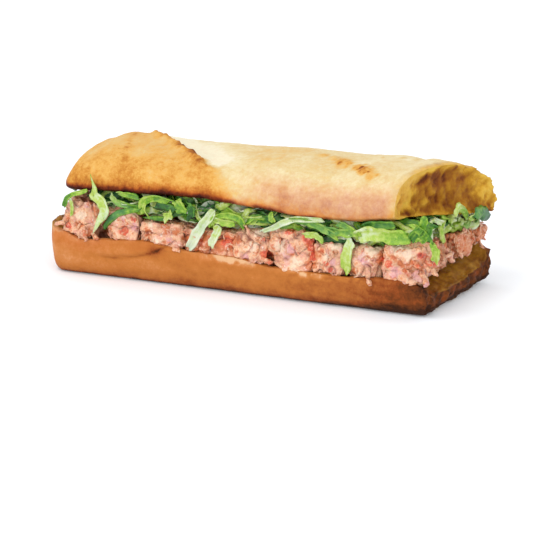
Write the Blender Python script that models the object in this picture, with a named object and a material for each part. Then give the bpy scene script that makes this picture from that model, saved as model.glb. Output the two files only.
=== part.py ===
"""Lobster roll: a length of baguette split in two, filled with lobster chunks and shredded lettuce.

Metres, +Z up. X runs along the roll with the cut end at +X, and -Y is the open front.
The origin is on the table, under the middle of the roll.
"""

import math
import random

import bmesh
import bpy
from mathutils import Vector, noise
from mathutils.bvhtree import BVHTree

MM = 0.001
GAP = 0.4 * MM  # kept between neighbours that touch

# Bread: where each half starts and ends, and how wide it is
LOWER_LEFT = -105.8 * MM
LOWER_RIGHT_FRONT = 98 * MM  # at the table; both halves are torn on the slant
LOWER_RIGHT_BACK = 102 * MM
UPPER_LEFT = -98.5 * MM
UPPER_RIGHT_FRONT = 85 * MM
UPPER_RIGHT_BACK = 109.5 * MM
HALF_WIDTH = 38 * MM
UPPER_HALF_WIDTH = 37 * MM
CROWDING = 0.09  # how much closer together a half's points are near both ends

# Lower half: heights along the roll, in millimetres as (x, height)
RIM = [
    (-106, 25), (-97, 23), (-86, 19.3), (-72, 20.8), (-51, 22.4), (-29, 20), (-6, 20), (22, 17.2),
    (53, 16.8), (82, 18.4), (108, 18),
]
BACK_RIM_RISE = 4 * MM  # the rim climbs this much to the back right corner
BACK_RIM_START = 45 * MM
BACK_RIM_RUN = 50 * MM
FOOT_RADIUS = 7.5 * MM
LEFT_HEEL = 0.92  # how nearly the foot's curve is upright at the natural end
RIGHT_HEEL = 0.3  # and at the torn end
LEAN_FRONT = 4.5 * MM  # the torn end leans out over its foot
LEAN_BACK = 6 * MM
LEAN_TURN = 0.68 * math.pi  # the lean grows upwards and is rounded off again below the rim
LEAN_RUN = 16 * MM
FALL_FRONT = 1.5 * MM  # the rim and crumb fall away towards the torn end
FALL_BACK = 5 * MM
FALL_RUN = 9 * MM
WALL_TURN = math.radians(112)  # how far the wall turns from the table, round the belly, to the rim
LIP_HALF = 35.5 * MM  # the rim's inner edge
BOWL_HALF = 32 * MM  # from here in, the crumb is pressed down to its full depth
BREAD_ROWS = [-HALF_WIDTH, -LIP_HALF, -BOWL_HALF, -16 * MM, 0, 16 * MM, BOWL_HALF, LIP_HALF, HALF_WIDTH]
CRUMB_DIP = 5 * MM
LEFT_LIP = 3 * MM
LEFT_BOWL = 10 * MM
LOWER_CORNER = 13 * MM
LOWER_SQUARENESS = 4  # the power of the natural end's rounded outline
WALL_RELIEF = 0.7 * MM
WALL_GRAIN = 16 * MM  # the size of the bumps in a relief
TORN_RUN = 7 * MM  # the torn end is ragged this far in
TORN_RELIEF = 2 * MM
TORN_GRAIN = 5 * MM

# Upper half: its lower edge at the front and the back, and its crest
EDGE_FRONT = [
    (-99, 46), (-61, 48), (-21, 49.6), (10, 48.2), (36, 46), (57, 47), (87, 50.5), (108, 50.8),
]
EDGE_BACK = [(-97, 43), (-17, 45.4), (64, 44), (110, 40)]
CREST = [
    (-98, 51), (-91, 60.5), (-79, 65), (-59, 65.6), (-39, 64.4), (-17, 65), (16, 67), (44, 66),
    (75, 68.8), (108, 68),
]
UPPER_CORNER = 12.5 * MM
UPPER_SQUARENESS = 3.6
CRUST_RELIEF = 0.8 * MM
CRUST_GRAIN = 18 * MM
EDGE_DROP = 2.2 * MM  # the crust's lower edge curls this far under
EDGE_TUCK = math.radians(28)
SHOULDER = math.radians(22)
DOME_POWER = 2 / 2.35
UNDERSIDE_DISH = 3.2 * MM
DISH_END = 55 * MM  # the dish fades out from here towards the torn end
DISH_RUN = 32 * MM
CUT_HOLLOW = 4 * MM  # the torn crumb face is hollow behind its crust
CUT_RELIEF = 2.6 * MM
CUT_GRAIN = 6 * MM
CUT_SQUARENESS = 0.7  # the power that widens the hollow upwards
END_FLAT = 0.94  # the natural ends stop short of a point

# Scores across the crust, each from its back end to its front end in plan
SCORES = [((-67, 14), (-18, -27), 3.4), ((25, 6), (66, -21), 1.6)]
SCORE_WIDTH = 5.5 * MM
SCORE_FADE = 0.15  # each end of a score fades over this share of its length
EAR_OFFSET = 0.4  # the ear's and the valley's places and widths, as shares of the score's width
EAR_WIDTH = 0.8
VALLEY_OFFSET = 1.2
VALLEY_WIDTH = 1.6
VALLEY_DEPTH = 0.6  # as a share of the ear's height

# Filling
FILLING_HALF = 20 * MM  # the chunks stand in front of and behind this core
FILLING_LEFT = -86 * MM
FILLING_RIGHT = 86 * MM
LAYER = [
    (-104, 39.8), (-89, 39.8), (-73, 37.4), (-61, 35.8), (-42, 33.5), (0, 34.4), (28, 36.5),
    (49, 33.6), (68, 33.4), (89, 36), (108, 35),
]
LAYER_FALL = 3.5 * MM  # the layer's top is this much lower at the back
CHUNK_FRONT = 36.6 * MM
CHUNK_RELIEF = 2.4 * MM
CORE_RELIEF = 2.5 * MM  # the core's wall is hollowed this much between the chunks
CORE_GRAIN = 9 * MM
CORE_SPAN = 80 * MM
BED_STEP = 2 * MM  # a chunk clears the bread this far round each of its points

# Chunks as (x, y, z, length, depth, height), in millimetres
FRONT_CHUNKS = [
    (-87, -27.5, 29, 21, 19, 23),
    (-64, -28, 27.5, 22, 18, 18.5),
    (-43.5, -28, 26.2, 28, 18, 17.5),
    (-25, -27, 25.3, 15, 18, 14.5),
    (-10, -28, 25.5, 20.5, 18, 16.5),
    (7.5, -28, 25.8, 21.5, 18, 18.5),
    (28.5, -28, 26.5, 28, 19, 22),
    (49, -28, 24.6, 20, 18, 19),
    (67, -28, 24.3, 21, 18, 19),
    (89.5, -27.5, 26, 26.5, 20, 22),
]
END_CHUNKS = [
    (92.5, -7, 25, 14, 26, 21.5),
    (96, 16, 27.5, 17, 24, 22.5),
    (100, 30.5, 28.3, 13, 13, 13.5),
]
LEFT_CHUNKS = [(-93, -7, 28.5, 15, 23, 18), (-92, 16, 27.5, 15, 24, 17)]
BACK_CHUNKS = [
    (-78, 28, 27, 27, 18, 18),
    (-54, 28, 27, 28, 18, 17.5),
    (-30, 28, 25.5, 25, 18, 17),
    (-8, 28, 26, 25, 18, 17.5),
    (16, 28, 25, 27, 18, 18),
    (41, 28, 24.5, 26, 18, 17),
    (66, 28, 25, 27, 18, 18),
]
BLOCK_SHARE = 0.86  # a chunk's block before it is rounded, as a share of its length, depth and height
ROUNDNESS = 0.6  # 0 is a block, 1 is a ball
LUMP = 8 * MM
SMALL_LUMP = 4.5 * MM

# Lettuce
LETTUCE_LEFT = -90 * MM
LETTUCE_RIGHT_FRONT = 88 * MM  # slanted like the bread's cut
LETTUCE_RIGHT_BACK = 97 * MM
LETTUCE_FRONT = -28 * MM
LETTUCE_BACK = 29 * MM
SHRED_THICKNESS = 0.9 * MM
SHRED_STEPS = 5
SHRED_FILL = 0.7  # the widest a shred may be, as a share of the room between lobster and bread
SHREDS_FRONT = 18
SHREDS_BACK = 8
SHREDS_END = 4
SHRED_WIDTHS = (4.2 * MM, 6.2 * MM)
SHRED_LENGTHS = (17 * MM, 28 * MM)
SHRED_REACHES = (5.5 * MM, 8 * MM)  # how far a shred bows out
SHRED_CLIMB = 6 * MM  # from one end to the other, up or down
SHRED_LEVELS = (0.25, 0.75, 0.5)  # its height in the layer, each shred in turn
SHRED_ROOT = 2.2 * MM  # its ends lie this deep in the core
SHRED_WOBBLE = 0.7 * MM
SHRED_WAVE = 0.8 * MM
STRIP_TAPER = 0.72  # the width that is left at a strip's ends

# Ribbons that hang down over the lobster, on the front or on the torn end: each one's side,
# name, width and points from the top down. A point is (along the side, height) in millimetres.
RIBBONS = [
    ("front", "tip", 4.0, [(-78, 43), (-86.5, 42), (-92.5, 38.5), (-95, 32.5)]),
    ("front", "pale_left", 5.5, [(-77, 43.5), (-74, 36.5), (-77, 24.5)]),
    ("front", "dark_left", 3.6, [(-48, 40), (-60, 33.5), (-72, 23.5)]),
    ("front", "white_rib", 5.2, [(-12.5, 41.5), (-18.5, 32.5), (-27, 22)]),
    ("front", "stub", 5.0, [(-13, 34), (-16, 23)]),
    ("front", "long", 3.8, [(58.5, 41.3), (45, 42.4), (31.5, 42), (21, 38.7), (12, 32)]),
    ("front", "broad", 8.5, [(66, 38), (78.5, 39), (90, 42.4)]),
    ("front", "yellow_stub", 6.6, [(60.5, 37), (58.5, 21.5)]),
    ("end", "curly_right", 6.5, [(-15, 42.2), (-10.5, 38), (-6, 30.3), (-7.5, 22)]),
    ("end", "pale_curl", 5.5, [(-1, 37.7), (5, 41.4), (11, 41.8), (16, 38)]),
    ("end", "dark_curl", 5.5, [(11, 38.3), (18, 39), (25, 38), (31, 36)]),
]
RIBBON_THICKNESS = 0.8 * MM
RIBBON_STATIONS = 9
RIBBON_TRIES = 8  # how often a ribbon is eased out if it would cut what it lies on
RIBBON_PULLS = 4  # how often a ribbon is pulled tighter where it would sag into a hollow
RIBBON_SLACK = 1.5 * MM
EYE = 150 * MM  # where the rays that find a ribbon's bed start
SIDES = {
    "front": (Vector((0, -1, 0)), 27 * MM),  # the way it faces, and how deep a ribbon may lie
    "end": (Vector((1, 0, 0)), 87 * MM),
}

COLOURS = {
    "crust_top": ((0.80, 0.52, 0.22), 0.6),
    "crust_bottom": ((0.56, 0.25, 0.07), 0.6),
    "lobster": ((0.78, 0.42, 0.32), 0.35),
    "lettuce": ((0.20, 0.42, 0.07), 0.4),
}


def clear_scene():
    for old in list(bpy.data.objects):
        bpy.data.objects.remove(old, do_unlink=True)


def material(name):
    """The food's colour and roughness as a Principled BSDF, made once for each name."""
    found = bpy.data.materials.get(name)
    if found:
        return found
    colour, roughness = COLOURS[name]
    made = bpy.data.materials.new(name)
    made.use_nodes = True
    shader = made.node_tree.nodes["Principled BSDF"]
    shader.inputs["Base Color"].default_value = (*colour, 1)
    shader.inputs["Roughness"].default_value = roughness
    shader.inputs["Metallic"].default_value = 0
    return made


def to_object(name, bm, collection, slot):
    """Turns a bmesh into a smooth-shaded object with its material."""
    bmesh.ops.recalc_face_normals(bm, faces=bm.faces)
    mesh = bpy.data.meshes.new(name)
    bm.to_mesh(mesh)
    bm.free()
    mesh.materials.append(material(slot))
    mesh.shade_smooth()
    made = bpy.data.objects.new(name, mesh)
    collection.objects.link(made)
    return made


def mix(a, b, t):
    return a + (b - a) * t


def smooth(t):
    t = min(1.0, max(0.0, t))
    return t * t * (3 - 2 * t)


def curve(points, x):
    """The smooth line through (x, height) points in millimetres, read at x in metres."""
    at = x / MM
    for (x0, z0), (x1, z1) in zip(points, points[1:]):
        if at <= x1:
            return mix(z0, z1, smooth((at - x0) / (x1 - x0))) * MM
    return points[-1][1] * MM


def bumps(place, size, seed):
    """Smooth random relief from -1 to 1, with bumps of about the given size."""
    return noise.noise(place / size + Vector((seed, 0, 0)))


def grid_block(cells):
    """A cube from 0 to 1 with its sides split into cells along X, Y and Z."""
    bm = bmesh.new()
    bmesh.ops.create_cube(bm, size=1)
    bmesh.ops.translate(bm, verts=bm.verts, vec=(0.5, 0.5, 0.5))
    for axis, count in enumerate(cells):
        along = [e for e in bm.edges if abs(e.verts[0].co[axis] - e.verts[1].co[axis]) > 1e-6]
        bmesh.ops.subdivide_edges(bm, edges=along, cuts=count - 1, use_grid_fill=True)
    return bm


def stations(u, start, end):
    """A place along the roll, with places closer together near both ends."""
    return mix(start, end, u - CROWDING * math.sin(2 * math.pi * u))


def narrowing(from_end, corner, power):
    """How wide the loaf still is at a distance from its natural end, from about half to 1."""
    t = END_FLAT * max(0.0, 1 - from_end / corner)
    return (1 - t**power) ** (1 / power)


# The lower half


def rim_height(x, y):
    """The rim's level, which climbs a little to the back right corner."""
    climb = smooth(y / HALF_WIDTH) * smooth((x - BACK_RIM_START) / BACK_RIM_RUN)
    return curve(RIM, x) + BACK_RIM_RISE * climb


def crumb_height(x, y):
    """The top face of the lower half: the rim, and the crumb pressed down inside it."""
    from_side = (LIP_HALF - abs(y)) / (LIP_HALF - BOWL_HALF)
    from_end = (x - LOWER_LEFT - LEFT_LIP) / (LEFT_BOWL - LEFT_LIP)
    inside = min(1.0, max(0.0, min(from_side, from_end)))
    return rim_height(x, y) - CRUMB_DIP * inside


def bread_under(x, y):
    """The highest that the lower half stands around a place, for what lies on it with flat faces."""
    steps = (-BED_STEP, 0, BED_STEP)
    return max(crumb_height(x + dx, y + dy) for dx in steps for dy in steps)


def lower_point(u, v, w):
    right = mix(LOWER_RIGHT_FRONT, LOWER_RIGHT_BACK, smooth(v))
    x = stations(u, LOWER_LEFT, right)
    lean = mix(LEAN_FRONT, LEAN_BACK, v) * math.sin(LEAN_TURN * w) * smooth(1 - (right - x) / LEAN_RUN)
    fall = mix(FALL_FRONT, FALL_BACK, v) * smooth(1 - (right - x) / FALL_RUN)
    across = BREAD_ROWS[round(v * (len(BREAD_ROWS) - 1))] / HALF_WIDTH
    half = HALF_WIDTH * narrowing(x - LOWER_LEFT, LOWER_CORNER, LOWER_SQUARENESS)
    turn = w * WALL_TURN
    y = across * (half - FOOT_RADIUS * (1 - math.sin(turn)))
    top = crumb_height(x, across * (HALF_WIDTH - GAP)) - fall
    rim = rim_height(x, y) - fall
    rise = (1 - math.cos(turn)) / (1 - math.cos(WALL_TURN))
    z = rim * rise - (rim - top) * w**3
    left_curl = LEFT_HEEL * (1 - (x - LOWER_LEFT) / FOOT_RADIUS)
    right_curl = RIGHT_HEEL * (1 - (right - x) / FOOT_RADIUS)
    curl = max(left_curl, right_curl, 0.0)
    heel = FOOT_RADIUS * (1 - math.sqrt(1 - curl * curl))  # the foot curves up at both ends
    return Vector((x + lean, y, mix(heel, rim, z / rim)))


def make_lower_half(collection):
    bm = grid_block((28, len(BREAD_ROWS) - 1, 4))
    for vert in bm.verts:
        u, v, w = vert.co
        place = lower_point(u, v, w)
        torn = smooth((place.x - LOWER_RIGHT_BACK) / TORN_RUN + 1)
        inner = 0.01 < w < 0.99
        if torn and w > 0.01:
            place.x += torn * TORN_RELIEF * (bumps(place, TORN_GRAIN, 3) - 0.4)
        if inner:
            outward = Vector((0, v - 0.5, 0)).normalized()
            place += outward * WALL_RELIEF * (bumps(place, WALL_GRAIN, 7) - 0.5)
        vert.co = place
    return to_object("bun_bottom", bm, collection, "crust_bottom")


# The upper half


def edge_height(x, y):
    """The level of the upper half's lower edge, which leans down to the back."""
    t = (y + UPPER_HALF_WIDTH) / (2 * UPPER_HALF_WIDTH)
    return mix(curve(EDGE_FRONT, x), curve(EDGE_BACK, x), min(1.0, max(0.0, t)))


def dish_depth(x):
    return UNDERSIDE_DISH * smooth(1 - (x - DISH_END) / DISH_RUN)


def underside(x, y):
    """The upper half's crumb face, dished between the curled edges."""
    reach = UPPER_HALF_WIDTH * math.cos(EDGE_TUCK)
    dish = dish_depth(x) * max(0.0, 1 - abs(y / reach) ** 4)
    return edge_height(x, y) - EDGE_DROP + dish


def arch(angle, half, rise):
    """A point of the dome's section. The angle is 0 at the front, 90 degrees at the crest."""
    if angle < 0 or angle > math.pi:
        under = math.sin(angle) / math.sin(EDGE_TUCK)
        return -half * math.cos(angle), EDGE_DROP * under
    side = math.cos(angle)
    y = -half * math.copysign(abs(side) ** DOME_POWER, side)
    return y, rise * max(0.0, math.sin(angle)) ** DOME_POWER


def dome_section(v, w, half, rise, dish):
    """Maps the unit square onto the dome's section, its sides onto the curled edges (a Coons patch)."""

    def side(t, at_back):
        angle = mix(-EDGE_TUCK, SHOULDER, t)
        return Vector(arch(math.pi - angle if at_back else angle, half, rise))

    top = Vector(arch(mix(SHOULDER, math.pi - SHOULDER, v), half, rise))
    reach = half * math.cos(EDGE_TUCK)
    bottom = Vector((reach * (2 * v - 1), -EDGE_DROP + dish * (1 - abs(2 * v - 1) ** 4)))
    level = mix(bottom, top, w)
    upright = mix(side(w, False), side(w, True), v)
    low = mix(side(0, False), side(0, True), v)
    high = mix(side(1, False), side(1, True), v)
    return level + upright - mix(low, high, w)


def score_relief(x, y):
    """Height of the baked scores: a raised ear on one side and a shallow valley on the other."""
    relief = 0.0
    for back, front, height in SCORES:
        start = Vector(back) * MM
        line = Vector(front) * MM - start
        along = (Vector((x, y)) - start).dot(line) / line.length_squared
        normal = Vector((-line.y, line.x)).normalized()
        across = (Vector((x, y)) - start).dot(normal)
        fade = smooth(along / SCORE_FADE + 0.5) * smooth((1 - along) / SCORE_FADE + 0.5)
        ear = math.exp(-(((across / SCORE_WIDTH + EAR_OFFSET) / EAR_WIDTH) ** 2))
        valley = math.exp(-(((across / SCORE_WIDTH - VALLEY_OFFSET) / VALLEY_WIDTH) ** 2))
        relief += height * MM * fade * (ear - VALLEY_DEPTH * valley)
    return relief


def upper_point(u, v, w):
    slant = smooth(v)
    x = stations(u, UPPER_LEFT, mix(UPPER_RIGHT_FRONT, UPPER_RIGHT_BACK, slant))
    half = UPPER_HALF_WIDTH * narrowing(x - UPPER_LEFT, UPPER_CORNER, UPPER_SQUARENESS)
    rise = curve(CREST, x) - edge_height(x, 0)
    y, z = dome_section(v, w, half, rise, dish_depth(x))
    return Vector((x, y, z + edge_height(x, y)))


def make_upper_half(collection):
    bm = grid_block((38, 12, 3))
    for vert in bm.verts:
        u, v, w = vert.co
        place = upper_point(u, v, w)
        if w > 0.99:
            place.z += score_relief(place.x, place.y)
            place.z += CRUST_RELIEF * (bumps(place, CRUST_GRAIN, 2) - 0.4)
        if u > 0.99:
            place.x += CUT_RELIEF * (bumps(place, CUT_GRAIN, 5) - 0.5)
            place.x -= CUT_HOLLOW * math.sin(math.pi * v) * math.sin(math.pi * w) ** CUT_SQUARENESS
        vert.co = place
    return to_object("bun_top", bm, collection, "crust_top")


# The lobster


def layer_top(x, y):
    """The top of the lobster, which carries the lettuce. It is lower at the back."""
    return curve(LAYER, x) - LAYER_FALL * smooth((y + 36 * MM) / (72 * MM))


class Chunk:
    """A lobster chunk while it is shaped: its points and the planes that neighbours press on it."""

    def __init__(self, name, numbers, cells, seed):
        x, y, z, length, depth, height = (n * MM for n in numbers)
        self.name = name
        self.centre = Vector((x, y, z))
        self.half = Vector((length, depth, height)) / 2
        self.planes = []
        self.bm = grid_block((cells, cells, cells))
        for vert in self.bm.verts:
            vert.co = self.rounded(vert.co * 2 - Vector((1, 1, 1)), seed)

    def rounded(self, corner, seed):
        """A point of the cube pulled in to a lumpy, round-cornered block."""
        ball = corner.normalized()
        block = mix(corner * BLOCK_SHARE, ball, ROUNDNESS)
        place = self.centre + Vector(a * b for a, b in zip(block, self.half))
        lump = bumps(place, LUMP, seed) + 0.5 * bumps(place, SMALL_LUMP, seed + 20)
        return place + ball * CHUNK_RELIEF * lump

    def reach(self, direction):
        return max((v.co - self.centre).dot(direction) for v in self.bm.verts)

    def press(self):
        """Slides the points that stick out past a plane, the bread or the lettuce back onto it."""
        for vert in self.bm.verts:
            for _ in range(6):
                for point, normal in self.planes:
                    over = (vert.co - point).dot(normal)
                    if over > 0:
                        vert.co -= normal * over
            low = bread_under(vert.co.x, vert.co.y) + GAP
            high = layer_top(vert.co.x, vert.co.y) - GAP / 2
            vert.co.z = min(max(vert.co.z, low), high)


def part_neighbours(chunks):
    """Where two chunks would overlap, each is pressed flat against the plane between them."""
    for i, one in enumerate(chunks):
        for other in chunks[i + 1 :]:
            line = other.centre - one.centre
            normal = line.normalized()
            over = one.reach(normal) + other.reach(-normal) - line.length
            if over > -GAP:
                middle = one.centre + normal * (one.reach(normal) - over / 2)
                one.planes.append((middle - normal * GAP / 2, normal))
                other.planes.append((middle + normal * GAP / 2, -normal))


def make_chunks(collection):
    rows = [
        ("front", FRONT_CHUNKS, 5, (Vector((0, -FILLING_HALF - GAP, 0)), Vector((0, 1, 0)))),
        ("end", END_CHUNKS, 4, (Vector((FILLING_RIGHT + GAP, 0, 0)), Vector((-1, 0, 0)))),
        ("left", LEFT_CHUNKS, 3, (Vector((FILLING_LEFT - GAP, 0, 0)), Vector((1, 0, 0)))),
        ("back", BACK_CHUNKS, 3, (Vector((0, FILLING_HALF + GAP, 0)), Vector((0, -1, 0)))),
    ]
    chunks = []
    for row, numbers, cells, core_plane in rows:
        for count, entry in enumerate(numbers, 1):
            chunk = Chunk(f"lobster_{row}_{count}", entry, cells, len(chunks) * 3.7)
            chunk.planes.append(core_plane)
            chunk.planes.append((Vector((0, -CHUNK_FRONT, 0)), Vector((0, -1, 0))))
            chunk.planes.append((Vector((0, CHUNK_FRONT, 0)), Vector((0, 1, 0))))
            chunks.append(chunk)
    part_neighbours(chunks)
    made = []
    for chunk in chunks:
        chunk.press()
        made.append(to_object(chunk.name, chunk.bm, collection, "lobster"))
    return made


def make_filling(collection):
    """The lobster mixture that runs through the roll behind the chunks that show."""
    bm = grid_block((22, 4, 3))
    for vert in bm.verts:
        u, v, w = vert.co
        x = mix(FILLING_LEFT, FILLING_RIGHT, u)
        hollow = CORE_RELIEF * abs(bumps(vert.co * CORE_SPAN, CORE_GRAIN, 31))
        y = mix(-FILLING_HALF, FILLING_HALF, v) * (1 - hollow / FILLING_HALF)
        low = crumb_height(x, y) + GAP
        high = layer_top(x, y) - GAP
        vert.co = Vector((x, y, mix(low, high, w)))
    return to_object("lobster_filling", bm, collection, "lobster")


# The lettuce


def strip_mesh(points, outward, width, thickness, turn=0.0):
    """A thin ribbon along the points. Its broad side faces outward, turned about its length.

    Both broad faces are split into triangles along the same diagonals.
    """
    bm = bmesh.new()
    rings = []
    last = len(points) - 1
    for i, point in enumerate(points):
        tangent = (points[min(i + 1, last)] - points[max(i - 1, 0)]).normalized()
        side = tangent.cross(outward).normalized()
        face = side.cross(tangent).normalized()
        angle = turn * math.sin(math.pi * i / last)
        side, face = (
            side * math.cos(angle) + face * math.sin(angle),
            face * math.cos(angle) - side * math.sin(angle),
        )
        taper = STRIP_TAPER if i in (0, last) else 1.0
        edge, skin = side * width * taper / 2, face * thickness / 2
        corners = (point - edge + skin, point + edge + skin, point + edge - skin, point - edge - skin)
        rings.append([bm.verts.new(c) for c in corners])
    for near, far in zip(rings, rings[1:]):
        for a, b in ((0, 1), (1, 2), (3, 2), (0, 3)):
            bm.faces.new((near[a], near[b], far[b]))
            bm.faces.new((near[a], far[b], far[a]))
    for ring in (rings[0], rings[-1]):
        bm.faces.new((ring[0], ring[1], ring[2]))
        bm.faces.new((ring[0], ring[2], ring[3]))
    return bm


def between_layers(place, half_height):
    """Keeps a shred's middle line above the lobster and below the upper half's curled edge."""
    low = layer_top(place.x, place.y) + half_height + GAP
    high = edge_height(place.x, place.y) - EDGE_DROP - half_height - GAP
    place.z = min(max(place.z, low), max(low, high))
    return place


def shred_points(base, along, outward, length, reach, rise, wave):
    """A shred that leaves the lettuce, runs along its side in a wavy bow and goes back in."""
    points = []
    for i in range(SHRED_STEPS + 1):
        t = i / SHRED_STEPS
        out = reach * math.sin(math.pi * t) ** 0.8 + SHRED_WOBBLE * math.sin(wave + 9 * t) - SHRED_ROOT
        place = base + along * length * (t - 0.5) + outward * out
        place.z += rise * (t - 0.5) + SHRED_WAVE * math.sin(wave * 2 + 7 * t)
        points.append(place)
    return points


def shred_side(count, draw, start, end):
    """Spreads shreds evenly along one side of the lettuce, which is on the left, three heights in turn."""
    along = (end - start).normalized()
    outward = along.cross(Vector((0, 0, 1)))
    strips = []
    for i in range(count):
        base = mix(start, end, (i + 0.5 + draw.uniform(-0.3, 0.3)) / count)
        low = layer_top(base.x, base.y)
        high = edge_height(base.x, base.y) - EDGE_DROP
        width = min(draw.uniform(*SHRED_WIDTHS), SHRED_FILL * (high - low))
        base.z = mix(low, high, SHRED_LEVELS[i % 3])
        length = draw.uniform(*SHRED_LENGTHS)
        reach = draw.uniform(*SHRED_REACHES)
        rise = draw.uniform(-SHRED_CLIMB, SHRED_CLIMB)
        points = shred_points(base, along, outward, length, reach, rise, draw.uniform(0, 6))
        points = [between_layers(p, width * 0.5) for p in points]
        strips.append(strip_mesh(points, outward, width, SHRED_THICKNESS, draw.uniform(-0.5, 0.5)))
    return strips


def make_lettuce(collection):
    """Shredded lettuce: a core between the lobster and the bread, with the shreds that show fused on."""
    bm = grid_block((18, 4, 1))
    for vert in bm.verts:
        u, v, w = vert.co
        x = mix(LETTUCE_LEFT, mix(LETTUCE_RIGHT_FRONT, LETTUCE_RIGHT_BACK, v), u)
        y = mix(LETTUCE_FRONT, LETTUCE_BACK, v)
        low = layer_top(x, y) + GAP
        high = underside(x, y) - 2 * GAP
        vert.co = Vector((x, y, mix(low, high, w)))
    core = to_object("lettuce", bm, collection, "lettuce")
    draw = random.Random(11)
    front_left = Vector((LETTUCE_LEFT, LETTUCE_FRONT, 0))
    front_right = Vector((LETTUCE_RIGHT_FRONT, LETTUCE_FRONT, 0))
    back_right = Vector((LETTUCE_RIGHT_BACK, LETTUCE_BACK, 0))
    back_left = Vector((LETTUCE_LEFT, LETTUCE_BACK, 0))
    strips = shred_side(SHREDS_FRONT, draw, front_left, front_right)
    strips += shred_side(SHREDS_BACK, draw, back_right, back_left)
    strips += shred_side(SHREDS_END, draw, front_right, back_right)
    strips += shred_side(SHREDS_END, draw, back_left, front_left)
    shreds = bpy.data.collections.new("shreds")
    bpy.context.scene.collection.children.link(shreds)
    for i, strip in enumerate(strips):
        to_object(f"shred_{i}", strip, shreds, "lettuce")
    return fuse(core, shreds)


def keep_outer_shell(mesh):
    """Drops loose scraps, and the inner walls of hollows that the union sealed, which fills them."""
    bm = bmesh.new()
    bm.from_mesh(mesh)
    waiting = set(bm.verts)
    shells = []
    while waiting:
        shell, edge = set(), [waiting.pop()]
        while edge:
            vert = edge.pop()
            shell.add(vert)
            near = {e.other_vert(vert) for e in vert.link_edges} & waiting
            waiting -= near
            edge.extend(near)
        shells.append(shell)
    largest = max(shells, key=len)
    loose = [v for shell in shells if shell is not largest for v in shell]
    bmesh.ops.delete(bm, geom=loose, context="VERTS")
    bm.to_mesh(mesh)
    bm.free()


def fuse(core, collection):
    """Joins every object of a collection to the core in one union, then removes them."""
    union = core.modifiers.new("fuse", "BOOLEAN")
    union.operation = "UNION"
    union.operand_type = "COLLECTION"
    union.collection = collection
    union.solver = "MANIFOLD"
    evaluated = core.evaluated_get(bpy.context.evaluated_depsgraph_get())
    core.data = bpy.data.meshes.new_from_object(evaluated)
    core.modifiers.clear()
    keep_outer_shell(core.data)
    for strip in list(collection.objects):
        bpy.data.objects.remove(strip, do_unlink=True)
    bpy.data.collections.remove(collection)
    return core


def route(points, count):
    """Evenly spaced places on a smooth curve through (x, z) points in millimetres."""
    ends = [points[0], *points, points[-1]]
    places = []
    for i in range(count):
        at = (len(points) - 1) * i / (count - 1)
        k = min(int(at), len(points) - 2)
        t = at - k
        before, a, b, after = (Vector(p) for p in ends[k : k + 4])
        places.append(
            0.5 * MM * (2 * a + (b - before) * t + (2 * before - 5 * a + 4 * b - after) * t**2
            + (3 * a - before - 3 * b + after) * t**3)
        )
    return places


def bed(place, width, trees, outward, deepest):
    """How far out the solids reach behind a ribbon's width at one of its places."""
    along = Vector((0, 0, 1)).cross(outward)
    steps = [i / 3 * (width / 2 + GAP) for i in range(-3, 4)]
    reach = deepest
    for sideways in steps:
        for up in steps:
            eye = along * (place.x + sideways) + outward * EYE + Vector((0, 0, place.y + up))
            for tree in trees:
                distance = tree.ray_cast(eye, -outward)[3]
                if distance:
                    reach = max(reach, EYE - distance)
    return reach


def hang(places, width, trees, side, ease):
    """Lays a ribbon's places on the solids behind it, tight over their hollows and eased out a little."""
    outward, deepest = SIDES[side]
    along = Vector((0, 0, 1)).cross(outward)
    beds = [bed(place, width, trees, outward, deepest) for place in places]
    out = [max(beds[max(0, i - 1) : i + 2]) for i in range(len(beds))]
    for _ in range(RIBBON_PULLS):
        inner = [max(b, (a + c) / 2) for a, b, c in zip(out, out[1:], out[2:])]
        first = max(out[0], inner[0] - RIBBON_SLACK)
        last = max(out[-1], inner[-1] - RIBBON_SLACK)
        out = [first, *inner, last]
    off = RIBBON_THICKNESS / 2 + GAP + ease
    return [along * p.x + outward * (o + off) + Vector((0, 0, p.y)) for p, o in zip(places, out)]


def make_ribbons(collection, behind):
    """Each ribbon lies on the solids behind it and on the ribbons made before it."""
    made = []
    graph = bpy.context.evaluated_depsgraph_get()
    trees = [BVHTree.FromObject(o, graph) for o in behind]
    for side, name, width, points in RIBBONS:
        places = route(points, RIBBON_STATIONS)
        for ease in range(RIBBON_TRIES):
            line = hang(places, width * MM, trees, side, ease * GAP)
            bm = strip_mesh(line, SIDES[side][0], width * MM, RIBBON_THICKNESS)
            own = BVHTree.FromBMesh(bm)
            if not any(own.overlap(tree) for tree in trees):
                break
        trees.append(own)
        made.append(to_object(f"lettuce_{name}", bm, collection, "lettuce"))
    return made


def stand_on_origin(objects):
    """Moves the meshes so that the origin is under the middle of the whole roll."""
    corners = [v.co for o in objects for v in o.data.vertices]
    low = Vector(min(c[axis] for c in corners) for axis in range(3))
    high = Vector(max(c[axis] for c in corners) for axis in range(3))
    shift = Vector((-(low.x + high.x) / 2, -(low.y + high.y) / 2, -low.z))
    for one in objects:
        for vert in one.data.vertices:
            vert.co += shift


def main():
    clear_scene()
    roll = bpy.data.collections.new("lobster_roll")
    bpy.context.scene.collection.children.link(roll)
    lower = make_lower_half(roll)
    upper = make_upper_half(roll)
    filling = make_filling(roll)
    chunks = make_chunks(roll)
    lettuce = make_lettuce(roll)
    bpy.context.view_layer.update()
    make_ribbons(roll, [lower, upper, filling, lettuce, *chunks])
    stand_on_origin(roll.objects)


main()
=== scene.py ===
# Lobster roll: crusty bread, lobster chunks in a creamy dressing and shredded lettuce.
# Lengths in the dictionaries are millimetres, and toMetres is applied when a mesh is made.
import math
from types import SimpleNamespace

import bpy
import numpy as np
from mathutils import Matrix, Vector
from mathutils.bvhtree import BVHTree


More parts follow.
